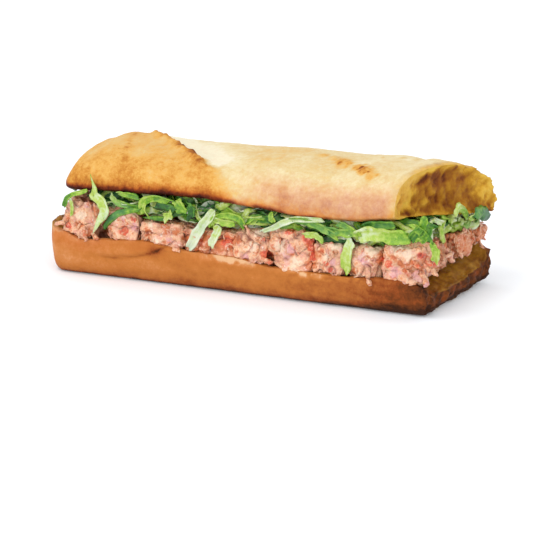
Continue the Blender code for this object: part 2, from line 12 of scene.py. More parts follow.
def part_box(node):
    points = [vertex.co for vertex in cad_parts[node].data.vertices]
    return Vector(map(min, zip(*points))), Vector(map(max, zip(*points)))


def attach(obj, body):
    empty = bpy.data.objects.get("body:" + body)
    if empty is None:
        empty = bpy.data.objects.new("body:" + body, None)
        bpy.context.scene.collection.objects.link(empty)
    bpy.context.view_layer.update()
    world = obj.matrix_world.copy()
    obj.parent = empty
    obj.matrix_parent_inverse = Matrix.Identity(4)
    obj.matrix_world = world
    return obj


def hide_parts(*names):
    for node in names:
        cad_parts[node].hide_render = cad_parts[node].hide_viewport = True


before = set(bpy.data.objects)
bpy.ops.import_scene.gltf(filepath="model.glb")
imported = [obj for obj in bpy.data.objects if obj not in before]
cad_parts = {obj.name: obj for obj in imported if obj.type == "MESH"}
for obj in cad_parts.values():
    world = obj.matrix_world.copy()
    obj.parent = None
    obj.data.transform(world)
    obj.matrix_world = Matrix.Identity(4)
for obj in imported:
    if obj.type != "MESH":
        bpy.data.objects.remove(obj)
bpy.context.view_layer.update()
toMetres = 0.001
print("frame loaded:", len(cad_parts), "nodes")

# Sizes of the two bread halves, the same as in the solids
lowerHalf = {
    "left": -105.8, "rightFront": 98, "rightBack": 102, "halfWidth": 38,
    "rim": [(-106, 25), (-97, 23), (-86, 19.3), (-72, 20.8), (-51, 22.4), (-29, 20), (-6, 20), (22, 17.2),
            (53, 16.8), (82, 18.4), (108, 18)],
    "backRise": 4, "riseStart": 45, "riseRun": 50,
    "footRadius": 7.5, "leftHeel": 0.92, "rightHeel": 0.3, "wallTurn": 112,
    "leanFront": 4.5, "leanBack": 6, "leanTurn": 0.68, "leanRun": 16,
    "fallFront": 1.5, "fallBack": 5, "fallRun": 9,
    "lipHalf": 35.5, "bowlHalf": 32, "crumbDip": 5, "leftLip": 3, "leftBowl": 10,
    "corner": 13, "squareness": 4,
    "cells": (290, 84, 26), "tornRun": 7, "wallRelief": 0.5,
}
upperHalf = {
    "left": -98.5, "rightFront": 85, "rightBack": 109.5, "halfWidth": 37,
    "edgeFront": [(-99, 46), (-61, 48), (-21, 49.6), (10, 48.2), (36, 46), (57, 47), (87, 50.5), (108, 50.8)],
    "edgeBack": [(-97, 43), (-17, 45.4), (64, 44), (110, 40)],
    "crest": [(-98, 51), (-91, 60.5), (-79, 65), (-59, 65.6), (-39, 64.4), (-17, 65), (16, 67), (44, 66),
              (75, 68.8), (108, 68)],
    "corner": 12.5, "squareness": 3.6, "edgeDrop": 2.2, "tuck": 28, "shoulder": 22, "domePower": 2 / 2.35,
    "dish": 3.2, "dishEnd": 55, "dishRun": 32, "cutHollow": 4, "endFlat": 0.94, "endHeight": 22,
    "cells": (290, 100, 24),
    "ear": {"back": (-67, 14), "front": (-18, -27), "height": 3.4, "width": 5.5},
    "blister": {"back": (25, 6), "front": (66, -21), "height": 1.6, "width": 5.5},
}
filling = {
    "layer": [(-104, 39.8), (-89, 39.8), (-73, 37.4), (-61, 35.8), (-42, 33.5), (0, 34.4), (28, 36.5),
              (49, 33.6), (68, 33.4), (89, 36), (108, 35)],
    "layerFall": 3.5,
}

# The solids stand on the origin, so the halves' own numbers are moved by the same small step
lowBun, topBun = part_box("bun_bottom"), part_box("bun_top")
standShift = np.array([
    lowBun[0][0] / toMetres - lowerHalf["left"],
    (topBun[0][1] + topBun[1][1]) / 2 / toMetres,
    0.0,
])


# Plain helpers

def toLinear(code):  # sRGB hex to linear RGBA
    parts = [int(code[i : i + 2], 16) / 255 for i in (1, 3, 5)]
    return (*[c / 12.92 if c <= 0.04045 else ((c + 0.055) / 1.055) ** 2.4 for c in parts], 1)


def addNode(tree, kind, links=None, stops=None, **settings):  # one node, its settings and what feeds it
    node = tree.nodes.new("ShaderNode" + kind)
    for name, value in settings.items():
        setattr(node, name, value)
    for name, value in (links or {}).items():
        if isinstance(value, bpy.types.NodeSocket):
            tree.links.new(value, node.inputs[name])
        else:
            node.inputs[name].default_value = value
    if stops:
        bar = node.color_ramp.elements
        for count, (place, code) in enumerate(stops):
            stop = bar[count] if count < 2 else bar.new(place)
            stop.position = place
            stop.color = toLinear(code)
    return node


def newMaterial(name):
    made = bpy.data.materials.new(name)
    made.use_nodes = True
    made.node_tree.nodes.clear()
    return made, made.node_tree


def ease(t):
    t = np.clip(t, 0, 1)
    return t * t * (3 - 2 * t)


def blendTo(a, b, t):
    return a + (b - a) * t


def hill(away, reach):  # 1 at the middle, fading smoothly on both sides
    return np.exp(-((away / reach) ** 2))


def curveAt(points, x):  # the smooth line through (x, height) points
    xs, zs = np.array(points, float).T
    at = np.clip(x, xs[0], xs[-1])
    k = np.clip(np.searchsorted(xs, at) - 1, 0, len(xs) - 2)
    return blendTo(zs[k], zs[k + 1], ease((at - xs[k]) / (xs[k + 1] - xs[k])))


def latticeNoise(points, size, seed=0):  # smooth random relief from about -1 to 1
    place = np.asarray(points, float) / size
    base = np.floor(place).astype(np.int64)
    part = place - base
    fade = part**3 * (part * (part * 6 - 15) + 10)
    total = np.zeros(len(place))
    for corner in np.ndindex(2, 2, 2):
        spot = base + corner
        code = spot[:, 0] * 73856093 ^ spot[:, 1] * 19349663 ^ spot[:, 2] * 83492791 ^ (seed + 1) * 40503
        code = (code ^ (code >> 13)) * 1274126177 & 0x7FFFFFFF
        code = (code ^ (code >> 15)) * 668265263 & 0x7FFFFFFF
        turn = code % 6283 / 1000
        tilt = code // 6283 % 2001 / 1000 - 1
        flat = np.sqrt(np.maximum(0, 1 - tilt**2))
        lean = np.stack([flat * np.cos(turn), flat * np.sin(turn), tilt], 1)
        weight = np.where(corner, fade, 1 - fade).prod(1)
        total += weight * ((part - corner) * lean).sum(1)
    return total * 1.7


def roughNoise(points, size, octaves, seed=0):  # several sizes of relief added, each half the last
    total, share = 0, 1
    for step in range(octaves):
        total = total + share * latticeNoise(points, size / 2**step, seed + 7 * step)
        share /= 2
    return total


def unitShell(cells):  # the surface of a unit cube as a quad grid
    spots, quads, count = [], [], 0
    for axis in range(3):
        a, b = [k for k in range(3) if k != axis]
        ga, gb = np.meshgrid(np.arange(cells[a] + 1), np.arange(cells[b] + 1), indexing="ij")
        for side in (0, 1):
            spot = np.zeros((ga.size, 3), int)
            spot[:, a], spot[:, b], spot[:, axis] = ga.ravel(), gb.ravel(), side * cells[axis]
            index = np.arange(ga.size).reshape(ga.shape) + count
            corners = [index[:-1, :-1], index[1:, :-1], index[1:, 1:], index[:-1, 1:]]
            quad = np.stack(corners, -1).reshape(-1, 4)
            quads.append(quad if (side == 1) != (axis == 1) else quad[:, ::-1])
            spots.append(spot)
            count += len(spot)
    unique, where = np.unique(np.concatenate(spots), axis=0, return_inverse=True)
    return unique / np.array(cells), where.ravel()[np.concatenate(quads)]


def makePiece(name, points, faces, material, nodes=(), marks=None):  # a piece that rides on the roll
    mesh = bpy.data.meshes.new(name)
    mesh.from_pydata((np.asarray(points) * toMetres).tolist(), [], [list(f) for f in faces])
    for mark, values in (marks or {}).items():
        mesh.attributes.new(mark, "FLOAT", "POINT").data.foreach_set("value", np.asarray(values, np.float32))
    mesh.materials.append(material)
    mesh.shade_smooth()
    piece = bpy.data.objects.new(name, mesh)
    bpy.context.scene.collection.objects.link(piece)
    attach(piece, "root")
    if nodes:
        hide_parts(*nodes)
    return piece


def meshArrays(mesh):
    points = np.empty(len(mesh.vertices) * 3)
    mesh.vertices.foreach_get("co", points)
    normals = np.empty(len(mesh.vertices) * 3)
    mesh.vertices.foreach_get("normal", normals)
    return points.reshape(-1, 3) / toMetres, normals.reshape(-1, 3)


def denseCopy(node, voxel, rounds):  # a node's form on an even fine mesh: points, outward directions, faces
    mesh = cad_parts[node].data.copy()
    work = bpy.data.objects.new("work", mesh)
    bpy.context.scene.collection.objects.link(work)
    weld = work.modifiers.new("weld", "WELD")
    weld.merge_threshold = 0.00001
    remesh = work.modifiers.new("remesh", "REMESH")
    remesh.mode = "VOXEL"
    remesh.voxel_size = voxel * toMetres
    soften = work.modifiers.new("soften", "SMOOTH")
    soften.iterations = rounds
    dense = bpy.data.meshes.new_from_object(work.evaluated_get(bpy.context.evaluated_depsgraph_get()))
    points, normals = meshArrays(dense)
    faces = [list(p.vertices) for p in dense.polygons]
    bpy.data.objects.remove(work)
    bpy.data.meshes.remove(mesh)
    bpy.data.meshes.remove(dense)
    return points, normals, faces


# Camera at the photo's angle: 24 degrees round to the right and 16 degrees up, from 3 metres with a long lens

view = {
    "around": 23.76, "up": 16.15, "distance": 3.0, "focalPixels": 5953.9, "sensor": 36,
    "target": (0, 0, 0.030), "targetPixel": (266.2, 219.35), "photoWidth": 550,
}


def makeCamera():
    turn, rise = math.radians(view["around"]), math.radians(view["up"])
    back = Vector((math.sin(turn) * math.cos(rise), -math.cos(turn) * math.cos(rise), math.sin(rise)))
    target = Vector(view["target"]) + Vector((*standShift[:2] * toMetres, 0))
    data = bpy.data.cameras.new("camera")
    data.sensor_width = view["sensor"]
    data.lens = view["sensor"] * view["focalPixels"] / view["photoWidth"]
    data.shift_x = 0.5 - view["targetPixel"][0] / view["photoWidth"]  # the lens shift puts the roll where the
    data.shift_y = view["targetPixel"][1] / view["photoWidth"] - 0.5  # photo has it, above the middle
    camera = bpy.data.objects.new("camera", data)
    camera.location = target + back * view["distance"]
    camera.rotation_euler = back.to_track_quat("Z", "Y").to_euler()
    bpy.context.scene.collection.objects.link(camera)
    bpy.context.scene.camera = camera


makeCamera()
print("camera placed")


# Light and floor: a white sweep under soft lamps

studio = {
    "world": 1.0,
    "lamps": [  # place, size in metres, watts
        ((-0.45, -1.0, 1.6), 0.9, 8.2),
        ((-0.35, -1.5, 0.42), 0.5, 2.4),
        ((0.9, -1.1, 0.9), 0.5, 2.2),
    ],
    "floorSize": 8.0,
}


def makeStudio():
    world = bpy.data.worlds.new("studio")
    bpy.context.scene.world = world
    world.use_nodes = True
    world.node_tree.nodes["Background"].inputs["Color"].default_value = (1, 1, 1, 1)
    world.node_tree.nodes["Background"].inputs["Strength"].default_value = studio["world"]
    for count, (place, size, watts) in enumerate(studio["lamps"]):
        data = bpy.data.lights.new(f"softLamp{count}", "AREA")
        data.size = size
        data.energy = watts
        lamp = bpy.data.objects.new(f"softLamp{count}", data)
        lamp.location = place
        lamp.rotation_euler = Vector(place).to_track_quat("Z", "Y").to_euler()
        bpy.context.scene.collection.objects.link(lamp)
    material, tree = newMaterial("glowingWhiteSweep")  # matt white card, so that only shadows show on it; it also glows faintly, a painted glow that lightens those shadows and lights the roll from below
    fine = addNode(tree, "TexNoise", {"Scale": 60.0, "Detail": 3.0})
    tint = addNode(tree, "ValToRGB", {"Fac": fine.outputs["Fac"]}, stops=[(0.3, "#eef2f7"), (0.7, "#f3f6fa")])
    shader = addNode(tree, "BsdfPrincipled", {
        "Base Color": tint.outputs["Color"], "Roughness": 0.85, "Specular IOR Level": 0.1,
        "Emission Color": (1, 1, 1, 1), "Emission Strength": 0.1,
    })
    addNode(tree, "OutputMaterial", {"Surface": shader.outputs["BSDF"]})
    half = studio["floorSize"] / 2
    mesh = bpy.data.meshes.new("floor")
    corners = [(-half, -half, 0), (half, -half, 0), (half, half, 0), (-half, half, 0)]
    mesh.from_pydata(corners, [], [(0, 1, 2, 3)])
    mesh.materials.append(material)
    floor = bpy.data.objects.new("floor", mesh)
    bpy.context.scene.collection.objects.link(floor)
    bpy.context.scene.view_settings.view_transform = "Standard"


makeStudio()
print("studio lit")


# Materials

def perMetre(millimetres):  # a pattern's scale from the real size of its grain
    return 1 / (millimetres * toMetres)


def raggedMask(tree, mark, noise, gain, low, high, most):  # where a mark shows, with its edge torn by noise
    centred = addNode(tree, "Math", {0: noise, 1: 0.5}, operation="SUBTRACT")
    torn = addNode(tree, "Math", {0: centred.outputs[0], 1: gain, 2: mark}, operation="MULTIPLY_ADD")
    shown = addNode(tree, "MapRange", {
        "Value": torn.outputs[0], "From Min": low, "From Max": high, "To Max": most,
    })
    return shown.outputs["Result"]


crustGrain = {  # millimetres, and for the first three how much they brown
    "clouds": (8, 0.38), "freckles": (2.6, 0.34), "flecks": (0.9, 0.20),
    "blushEdge": 2.2, "crumb": 5.8, "pores": 1.3, "grit": 0.9, "relief": 0.4,
}


def bakedCrust(name, ramp, blushRamp, crumbRamp):
    # Oven-baked wheat crust: dull, dry and mottled, with flour left in places and pores a few tenths wide.
    # The torn crumb beside it is the same dough soaked with dressing, so it is darker and a little glossier.
    material, tree = newMaterial(name)
    place = addNode(tree, "NewGeometry").outputs["Position"]
    browningAndShading = addNode(tree, "Attribute", attribute_name="browningAndShading").outputs["Fac"]
    rosy = addNode(tree, "Attribute", attribute_name="rosy").outputs["Fac"]
    crumb = addNode(tree, "Attribute", attribute_name="crumb").outputs["Fac"]
    crumbToneAndShade = addNode(tree, "Attribute", attribute_name="crumbToneAndShade").outputs["Fac"]
    total = browningAndShading
    for size, gain in (crustGrain["clouds"], crustGrain["freckles"], crustGrain["flecks"]):
        spots = addNode(tree, "TexNoise", {
            "Vector": place, "Scale": perMetre(size), "Detail": 5.0, "Roughness": 0.6,
        })
        centred = addNode(tree, "Math", {0: spots.outputs["Fac"], 1: 0.5}, operation="SUBTRACT")
        total = addNode(tree, "Math", {0: centred.outputs[0], 1: gain, 2: total},
                        operation="MULTIPLY_ADD").outputs[0]
    crust = addNode(tree, "ValToRGB", {"Fac": total}, stops=ramp)
    uneven = addNode(tree, "TexNoise", {
        "Vector": place, "Scale": perMetre(crustGrain["blushEdge"]), "Detail": 4.0, "Roughness": 0.65,
    })
    flush = raggedMask(tree, rosy, uneven.outputs["Fac"], 0.5, 0.0, 1.0, 1.0)
    blushed = addNode(tree, "ValToRGB", {"Fac": flush}, stops=blushRamp)  # a darkening glaze
    blush = addNode(tree, "Mix", {"Factor": 1.0, 6: crust.outputs["Color"], 7: blushed.outputs["Color"]},
                    data_type="RGBA", blend_type="MULTIPLY")
    grain = addNode(tree, "TexNoise", {
        "Vector": place, "Scale": perMetre(crustGrain["crumb"]), "Detail": 6.0, "Roughness": 0.6,
    })
    # The crumb's tone mark also holds painted shade, dark in its holes and hollows
    inner = addNode(tree, "Math", {0: grain.outputs["Fac"], 1: 0.7, 2: crumbToneAndShade}, operation="MULTIPLY_ADD")
    soaked = addNode(tree, "ValToRGB", {"Fac": inner.outputs[0]}, stops=crumbRamp)
    colour = addNode(tree, "Mix", {"Factor": crumb, 6: blush.outputs[2], 7: soaked.outputs["Color"]},
                     data_type="RGBA")
    pores = addNode(tree, "TexVoronoi", {
        "Vector": place, "Scale": perMetre(crustGrain["pores"]), "Randomness": 1.0,
    })
    fine = addNode(tree, "TexNoise", {
        "Vector": place, "Scale": perMetre(crustGrain["grit"]), "Detail": 5.0, "Roughness": 0.65,
    })
    relief = addNode(tree, "Math", {0: pores.outputs["Distance"], 1: 0.4, 2: fine.outputs["Fac"]},
                     operation="MULTIPLY_ADD")
    bump = addNode(tree, "Bump", {
        "Height": relief.outputs[0], "Strength": 0.5, "Distance": crustGrain["relief"] * toMetres,
    })
    rough = addNode(tree, "MapRange", {"Value": crumb, "To Min": 0.6, "To Max": 0.5})
    shader = addNode(tree, "BsdfPrincipled", {
        "Base Color": colour.outputs[2], "Roughness": rough.outputs["Result"],
        "Normal": bump.outputs["Normal"], "Specular IOR Level": 0.12,
    })
    addNode(tree, "OutputMaterial", {"Surface": shader.outputs["BSDF"]})
    return material


fleshGrain = {"patches": 3.4, "specks": 2.4, "fibres": 0.7, "relief": 0.8, "glow": 1.2}  # millimetres


def cookedLobster():
    # Boiled lobster in a thin creamy dressing: flaky flesh that turns from cream and peach to lilac, with spots
    # of orange-red skin. Dressing and a painted highlight whiten the high flakes, red and a painted shade
    # darken the hollows, and all of it is wet.
    material, tree = newMaterial("cookedLobster")
    place = addNode(tree, "NewGeometry").outputs["Position"]
    patch = addNode(tree, "TexNoise", {
        "Vector": place, "Scale": perMetre(fleshGrain["patches"]), "Detail": 6.0, "Roughness": 0.62,
    })
    colour = addNode(tree, "ValToRGB", {"Fac": patch.outputs["Fac"]}, stops=[
        (0.33, "#d2683a"), (0.41, "#e69a6c"), (0.48, "#f5c8a2"), (0.54, "#ebae8c"), (0.60, "#e29c86"),
        (0.68, "#fbe4cc")]).outputs["Color"]
    speck = addNode(tree, "TexNoise", {
        "Vector": place, "Scale": perMetre(fleshGrain["specks"]), "Detail": 5.0, "Roughness": 0.66,
    })
    ember = addNode(tree, "ValToRGB", {"Fac": speck.outputs["Fac"]}, stops=[
        (0.32, "#8e2410"), (0.45, "#c93c1c"), (0.56, "#e35a2e"), (0.70, "#ec8a5c")])
    layers = [  # mark or none, noise gain, where it starts and is full, how much it covers, colour
        ("tint", 0.6, 0.10, 1.1, 0.9, toLinear("#d4804c")),
        (0.0, -3.2, 0.40, 0.70, 0.55, toLinear("#b8521f")),
        ("lilac", 1.6, 0.34, 0.66, 0.72, toLinear("#e2a4ac")),
        ("rust", 1.8, 0.38, 0.60, 0.86, toLinear("#d06a2c")),
        ("skin", 1.6, 0.42, 0.64, 0.92, ember.outputs["Color"]),
        # red in the hollows, darkened further as painted crevice shade
        ("hollowRedAndShade", 0.0, 0.0, 1.0, 1.0, toLinear("#7c2d16")),
        # dressing, with painted highlight on the high flakes and the cream spots
        ("dressingAndHighlight", 1.5, 0.12, 0.42, 0.66, toLinear("#f8e5ca")),
    ]
    for mark, gain, low, high, most, paint in layers:
        amount = addNode(tree, "Attribute", attribute_name=mark).outputs["Fac"] if mark else mark
        cover = raggedMask(tree, amount, speck.outputs["Fac"], gain, low, high, most)
        colour = addNode(tree, "Mix", {"Factor": cover, 6: colour, 7: paint}, data_type="RGBA").outputs[2]
    fibre = addNode(tree, "TexNoise", {
        "Vector": place, "Scale": perMetre(fleshGrain["fibres"]), "Detail": 5.0, "Roughness": 0.65,
    })
    bump = addNode(tree, "Bump", {
        "Height": fibre.outputs["Fac"], "Strength": 0.8, "Distance": fleshGrain["relief"] * toMetres,
    })
    shader = addNode(tree, "BsdfPrincipled", {
        "Base Color": colour, "Roughness": 0.38, "Normal": bump.outputs["Normal"],
        "Specular IOR Level": 0.5, "Subsurface Weight": 0.05, "Subsurface Radius": (1.0, 0.4, 0.25),
        "Subsurface Scale": fleshGrain["glow"] * toMetres, "Coat Weight": 0.3, "Coat Roughness": 0.14,
    })
    addNode(tree, "OutputMaterial", {"Surface": shader.outputs["BSDF"]})
    return material


leafGrain = {"mottle": 2.8, "wax": 16, "crinkle": 1.4, "relief": 0.5}  # millimetres


def romaineLeaf():
    # Shredded romaine: crisp wet leaf with a light gloss, thin enough to glow, and pale by the rib.
    material, tree = newMaterial("romaineLeaf")
    place = addNode(tree, "NewGeometry").outputs["Position"]
    tone = addNode(tree, "Attribute", attribute_name="tone").outputs["Fac"]
    vein = addNode(tree, "Attribute", attribute_name="vein").outputs["Fac"]
    mottle = addNode(tree, "TexNoise", {
        "Vector": place, "Scale": perMetre(leafGrain["mottle"]), "Detail": 5.0, "Roughness": 0.64,
    })
    shift = addNode(tree, "Math", {0: mottle.outputs["Fac"], 1: 0.5}, operation="SUBTRACT")
    total = addNode(tree, "Math", {0: shift.outputs[0], 1: 0.8, 2: tone}, operation="MULTIPLY_ADD")
    total = addNode(tree, "Math", {0: total.outputs[0], 1: vein}, operation="SUBTRACT")
    colour = addNode(tree, "ValToRGB", {"Fac": total.outputs[0]}, stops=[
        (0.0, "#eef5dc"), (0.14, "#dcecb2"), (0.28, "#c9dd6a"), (0.42, "#a0ca3a"), (0.56, "#6ba42a"),
        (0.72, "#3e7e26"), (0.86, "#22561c"), (1.0, "#123414")])
    waxy = addNode(tree, "TexNoise", {"Vector": place, "Scale": perMetre(leafGrain["wax"]), "Detail": 1.0})
    cool = addNode(tree, "MapRange", {
        "Value": waxy.outputs["Fac"], "From Min": 0.54, "From Max": 0.68, "To Max": 0.24,
    })
    colour = addNode(tree, "Mix", {"Factor": cool.outputs["Result"], 6: colour.outputs["Color"],
                                   7: toLinear("#6cab88")}, data_type="RGBA")
    crinkle = addNode(tree, "TexNoise", {
        "Vector": place, "Scale": perMetre(leafGrain["crinkle"]), "Detail": 3.0,
    })
    bump = addNode(tree, "Bump", {
        "Height": crinkle.outputs["Fac"], "Strength": 0.6, "Distance": leafGrain["relief"] * toMetres,
    })
    leaf = addNode(tree, "BsdfPrincipled", {
        "Base Color": colour.outputs[2], "Roughness": 0.34, "Normal": bump.outputs["Normal"],
        "Coat Weight": 0.12, "Coat Roughness": 0.15,
    })
    glow = addNode(tree, "BsdfTranslucent", {"Color": colour.outputs[2], "Normal": bump.outputs["Normal"]})
    both = addNode(tree, "MixShader", {0: 0.28, 1: leaf.outputs["BSDF"], 2: glow.outputs["BSDF"]})
    addNode(tree, "OutputMaterial", {"Surface": both.outputs["Shader"]})
    return material


topCrust = bakedCrust(
    "goldenCrust",
    ramp=[(0.0, "#e8dfc2"), (0.15, "#e0d0a4"), (0.3, "#d9c08a"), (0.42, "#d9b26d"), (0.54, "#d9a553"),
          (0.64, "#c78837"), (0.74, "#ab6824"), (0.84, "#824616"), (0.93, "#5b2b0d"), (1.0, "#421e09")],
    blushRamp=[(0.0, "#ffffff"), (0.3, "#f7dad6"), (0.5, "#e8bab8"), (0.75, "#c08a98"), (1.0, "#84505e")],
    crumbRamp=[(0.07, "#3a1503"), (0.22, "#74390a"), (0.34, "#985e12"), (0.45, "#b27c1c"), (0.55, "#cf9c30"),
               (0.68, "#dfb548")],
)
baseCrust = bakedCrust(
    "brownCrust",
    ramp=[(0.0, "#dcb084"), (0.2, "#c8824a"), (0.36, "#bd7436"), (0.5, "#b56d2f"), (0.64, "#a45d28"),
          (0.76, "#8d4519"), (0.87, "#6c3611"), (1.0, "#3c1c07")],
    blushRamp=[(0.0, "#ffffff"), (1.0, "#f6d4c8")],
    crumbRamp=[(0.10, "#44200a"), (0.25, "#6e410d"), (0.37, "#8e5f16"), (0.49, "#a97a26"), (0.65, "#cda566")],
)
lobster = cookedLobster()
leafGreen = romaineLeaf()
print("materials made")


# The bread

def narrowing(fromEnd, corner, power):
    t = upperHalf["endFlat"] * np.maximum(0, 1 - fromEnd / corner)
    return (1 - t**power) ** (1 / power)


def stations(u, start, end):
    return blendTo(start, end, u - 0.09 * np.sin(2 * np.pi * u))


def rimHeight(x, y):
    s = lowerHalf
    climb = ease(y / s["halfWidth"]) * ease((x - s["riseStart"]) / s["riseRun"])
    return curveAt(s["rim"], x) + s["backRise"] * climb


def crumbHeight(x, y):
    s = lowerHalf
    fromSide = (s["lipHalf"] - np.abs(y)) / (s["lipHalf"] - s["bowlHalf"])
    fromEnd = (x - s["left"] - s["leftLip"]) / (s["leftBowl"] - s["leftLip"])
    return rimHeight(x, y) - s["crumbDip"] * ease(np.minimum(fromSide, fromEnd))


def edgeHeight(x, y):
    s = upperHalf
    t = np.clip((y + s["halfWidth"]) / (2 * s["halfWidth"]), 0, 1)
    return blendTo(curveAt(s["edgeFront"], x), curveAt(s["edgeBack"], x), t)


def layerTop(x, y):
    return curveAt(filling["layer"], x) - filling["layerFall"] * ease((y + 36) / 72)


def lineMarks(score, x, y):  # along a score from 0 to 1, and the distance across it
    start, end = np.array(score["back"], float), np.array(score["front"], float)
    line = end - start
    length = np.hypot(*line)
    rel = np.stack([x - start[0], y - start[1]], 1)
    return rel @ line / length**2, rel @ np.array([-line[1], line[0]]) / length


# The crust's browning mark also holds painted shade at the foot and along the fold, and a painted highlight at
# the rim
lowerLook = {  # browning runs from 0, floured, to 1, burnt. Pairs of relief are a wave's size and its height
    "waves": 17, "dimples": (3.0, 0.16), "rimTears": (3.4, 0.45), "crumbWaves": (7, 0.5), "crags": (5.5, 1.5),
    "endGrain": (1.6, 0.5),
    "foldLine": [(-79, 11.4), (-67, 12.2), (-57, 13.5), (-47, 16.4), (-39, 20.9)],
    "foldWidth": 0.8, "foldRidge": 0.7, "foldStep": 0.8, "foldReach": 7, "foldCreaseShade": 0.22,
    "flap": (-45, 18.5), "flapSize": (6, 3.5), "flapBrowning": 0.36,
    "browning": [(-106, 0.22), (-60, 0.34), (-10, 0.42), (30, 0.52), (60, 0.62), (82, 0.74), (103, 0.82)],
    "footBrowningAndShade": ((0.42, 0.30), (0.13, 0.34)),  # how far up the wall each reaches, and how much it adds; the narrow one is painted contact shade
    "paleRimsAndHighlights": [(41, 13), (65, 4), (-2, 12)],  # along and reach of the torn rim's pale stretches, pale crust and painted highlight
    "rimPalenessAndHighlight": 0.55,
    "footHeight": 2.2,
}


def makeLowerHalf():
    s, look = lowerHalf, lowerLook
    grid, faces = unitShell(s["cells"])
    u, v, w = grid.T
    right = blendTo(s["rightFront"], s["rightBack"], ease(v))
    x = stations(u, s["left"], right)
    lip, bowl = s["lipHalf"], s["bowlHalf"]
    rows = np.array([-s["halfWidth"], -lip, -bowl, -bowl / 2, 0, bowl / 2, bowl, lip, s["halfWidth"]])
    across = np.interp(v * (len(rows) - 1), np.arange(len(rows)), rows / s["halfWidth"])
    half = s["halfWidth"] * narrowing(x - s["left"], s["corner"], s["squareness"])
    turn, fullTurn = w * math.radians(s["wallTurn"]), math.radians(s["wallTurn"])
    fromRight = right - x
    lean = blendTo(s["leanFront"], s["leanBack"], v) * np.sin(s["leanTurn"] * np.pi * w)
    fall = blendTo(s["fallFront"], s["fallBack"], v) * ease(1 - fromRight / s["fallRun"])
    y = across * (half - s["footRadius"] * (1 - np.sin(turn)))
    top = crumbHeight(x, across * s["halfWidth"]) - fall
    rim = rimHeight(x, y) - fall
    z = rim * (1 - np.cos(turn)) / (1 - np.cos(fullTurn)) - (rim - top) * w**3
    leftCurl = s["leftHeel"] * (1 - (x - s["left"]) / s["footRadius"])
    rightCurl = s["rightHeel"] * (1 - fromRight / s["footRadius"])
    curl = np.clip(np.maximum(leftCurl, rightCurl), 0, 1)
    heel = s["footRadius"] * (1 - np.sqrt(1 - curl**2))
    z = blendTo(heel, rim, z / rim)
    points = np.stack([x + lean * ease(1 - fromRight / s["leanRun"]), y, z], 1)

    front, cut, high = v < 0.001, u > 0.999, w > 0.9
    outward = np.where(front | (v > 0.999), np.sign(v - 0.5), 0.0)
    wall = np.sin(np.pi * w) ** 0.5
    points[:, 1] += outward * wall * s["wallRelief"] * roughNoise(points, look["waves"], 3, 5)
    size, height = look["dimples"]
    points[:, 1] += outward * wall * height * roughNoise(points * [1, 1, 0.6], size, 3, 9)
    # An old fold in the dough, low on the front near the left
    foldLine = np.interp(x, *np.array(look["foldLine"]).T)
    lap = ease((x + 80) / 10) * ease((-37 - x) / 4) * front
    fold = hill(z - foldLine, look["foldWidth"]) * lap
    above = z - foldLine
    points[:, 1] += fold * look["foldRidge"]
    points[:, 1] -= lap * look["foldStep"] * ease(above / 1.5) * ease((look["foldReach"] - above) / 5)
    # The rim is torn unevenly, and its crumb is rough
    inner = ease((lip + 1 - np.abs(y)) / 3) * high
    size, height = look["rimTears"]
    points[:, 2] += high * height * roughNoise(points, size, 3, 12) * (0.6 + 0.8 * inner)
    size, height = look["crumbWaves"]
    points[:, 2] += inner * height * roughNoise(points, size, 2, 16)
    # The right end was torn, so it is craggy
    torn = ease(1 - fromRight / s["tornRun"]) * (w > 0.02)
    size, height = look["crags"]
    crag = roughNoise(points, size, 4, 21)
    points[:, 0] += torn * (height * crag - 0.5)
    size, height = look["endGrain"]
    points[:, 0] += cut * height * roughNoise(points, size, 2, 30)
    points[:, 2] = np.maximum(points[:, 2], 0)

    down = np.clip(z / rim, 0, 1)  # 0 at the foot of the wall and 1 at its rim
    browningAndShading = 0.03 + np.interp(x, *np.array(look["browning"]).T)
    browningAndShading += 0.06 * latticeNoise(points, 24, 3) + 0.05 * latticeNoise(points, 8, 4)
    # Darker towards the foot: browning, and in the lowest narrow band a painted contact shade
    for reach, amount in look["footBrowningAndShade"]:
        browningAndShading += amount * ease(1 - down / reach)
    # The fold's crease is darkened as painted shade, and the wall is lighter near its rim on the left
    browningAndShading += look["foldCreaseShade"] * fold - 0.12 * ease((down - 0.8) / 0.2) * ease((60 - x) / 30)
    flap, size = look["flap"], look["flapSize"]
    browningAndShading += look["flapBrowning"] * front * hill(x - flap[0], size[0]) * hill(z - flap[1], size[1])
    browningAndShading -= 0.05 * ease((x + 30) / 30) * ease((70 - x) / 20)
    # The torn rim's pale stretches are paler crust and also a painted highlight along the top of the rim
    paleRimAndHighlight = sum(hill(x - place, reach) for place, reach in look["paleRimsAndHighlights"])
    paleRimAndHighlight = paleRimAndHighlight * ease((down - 0.76) / 0.14) * ease(roughNoise(points, 4, 2, 40) + 0.7)
    browningAndShading -= look["rimPalenessAndHighlight"] * front * paleRimAndHighlight
    browningAndShading += 0.08 * (1 - cut) * roughNoise(points * [0.22, 1, 1], 4.0, 2, 45)  # long faint streaks
    browningAndShading += cut * (0.05 + 0.14 * roughNoise(points, 4.5, 2, 41))
    # Pale jagged crumbs along the torn foot, and the crumb floor
    foot = cut * ease(1 - z / look["footHeight"]) * ease(roughNoise(points, 2.6, 2, 43) + 0.35)
    floorCrumb = inner * (0.75 + 0.25 * ease(latticeNoise(points, 6, 42) + 0.5))
    crumb = np.clip(floorCrumb + 0.8 * foot + 0.1 * cut * ease(crag), 0, 1)
    crumb *= 1 - 0.85 * ease((x - 86) / 9) * ease((-17 - y) / 9)  # the front corner kept its crust
    crumb = np.where(z < 0.15, 0, crumb)
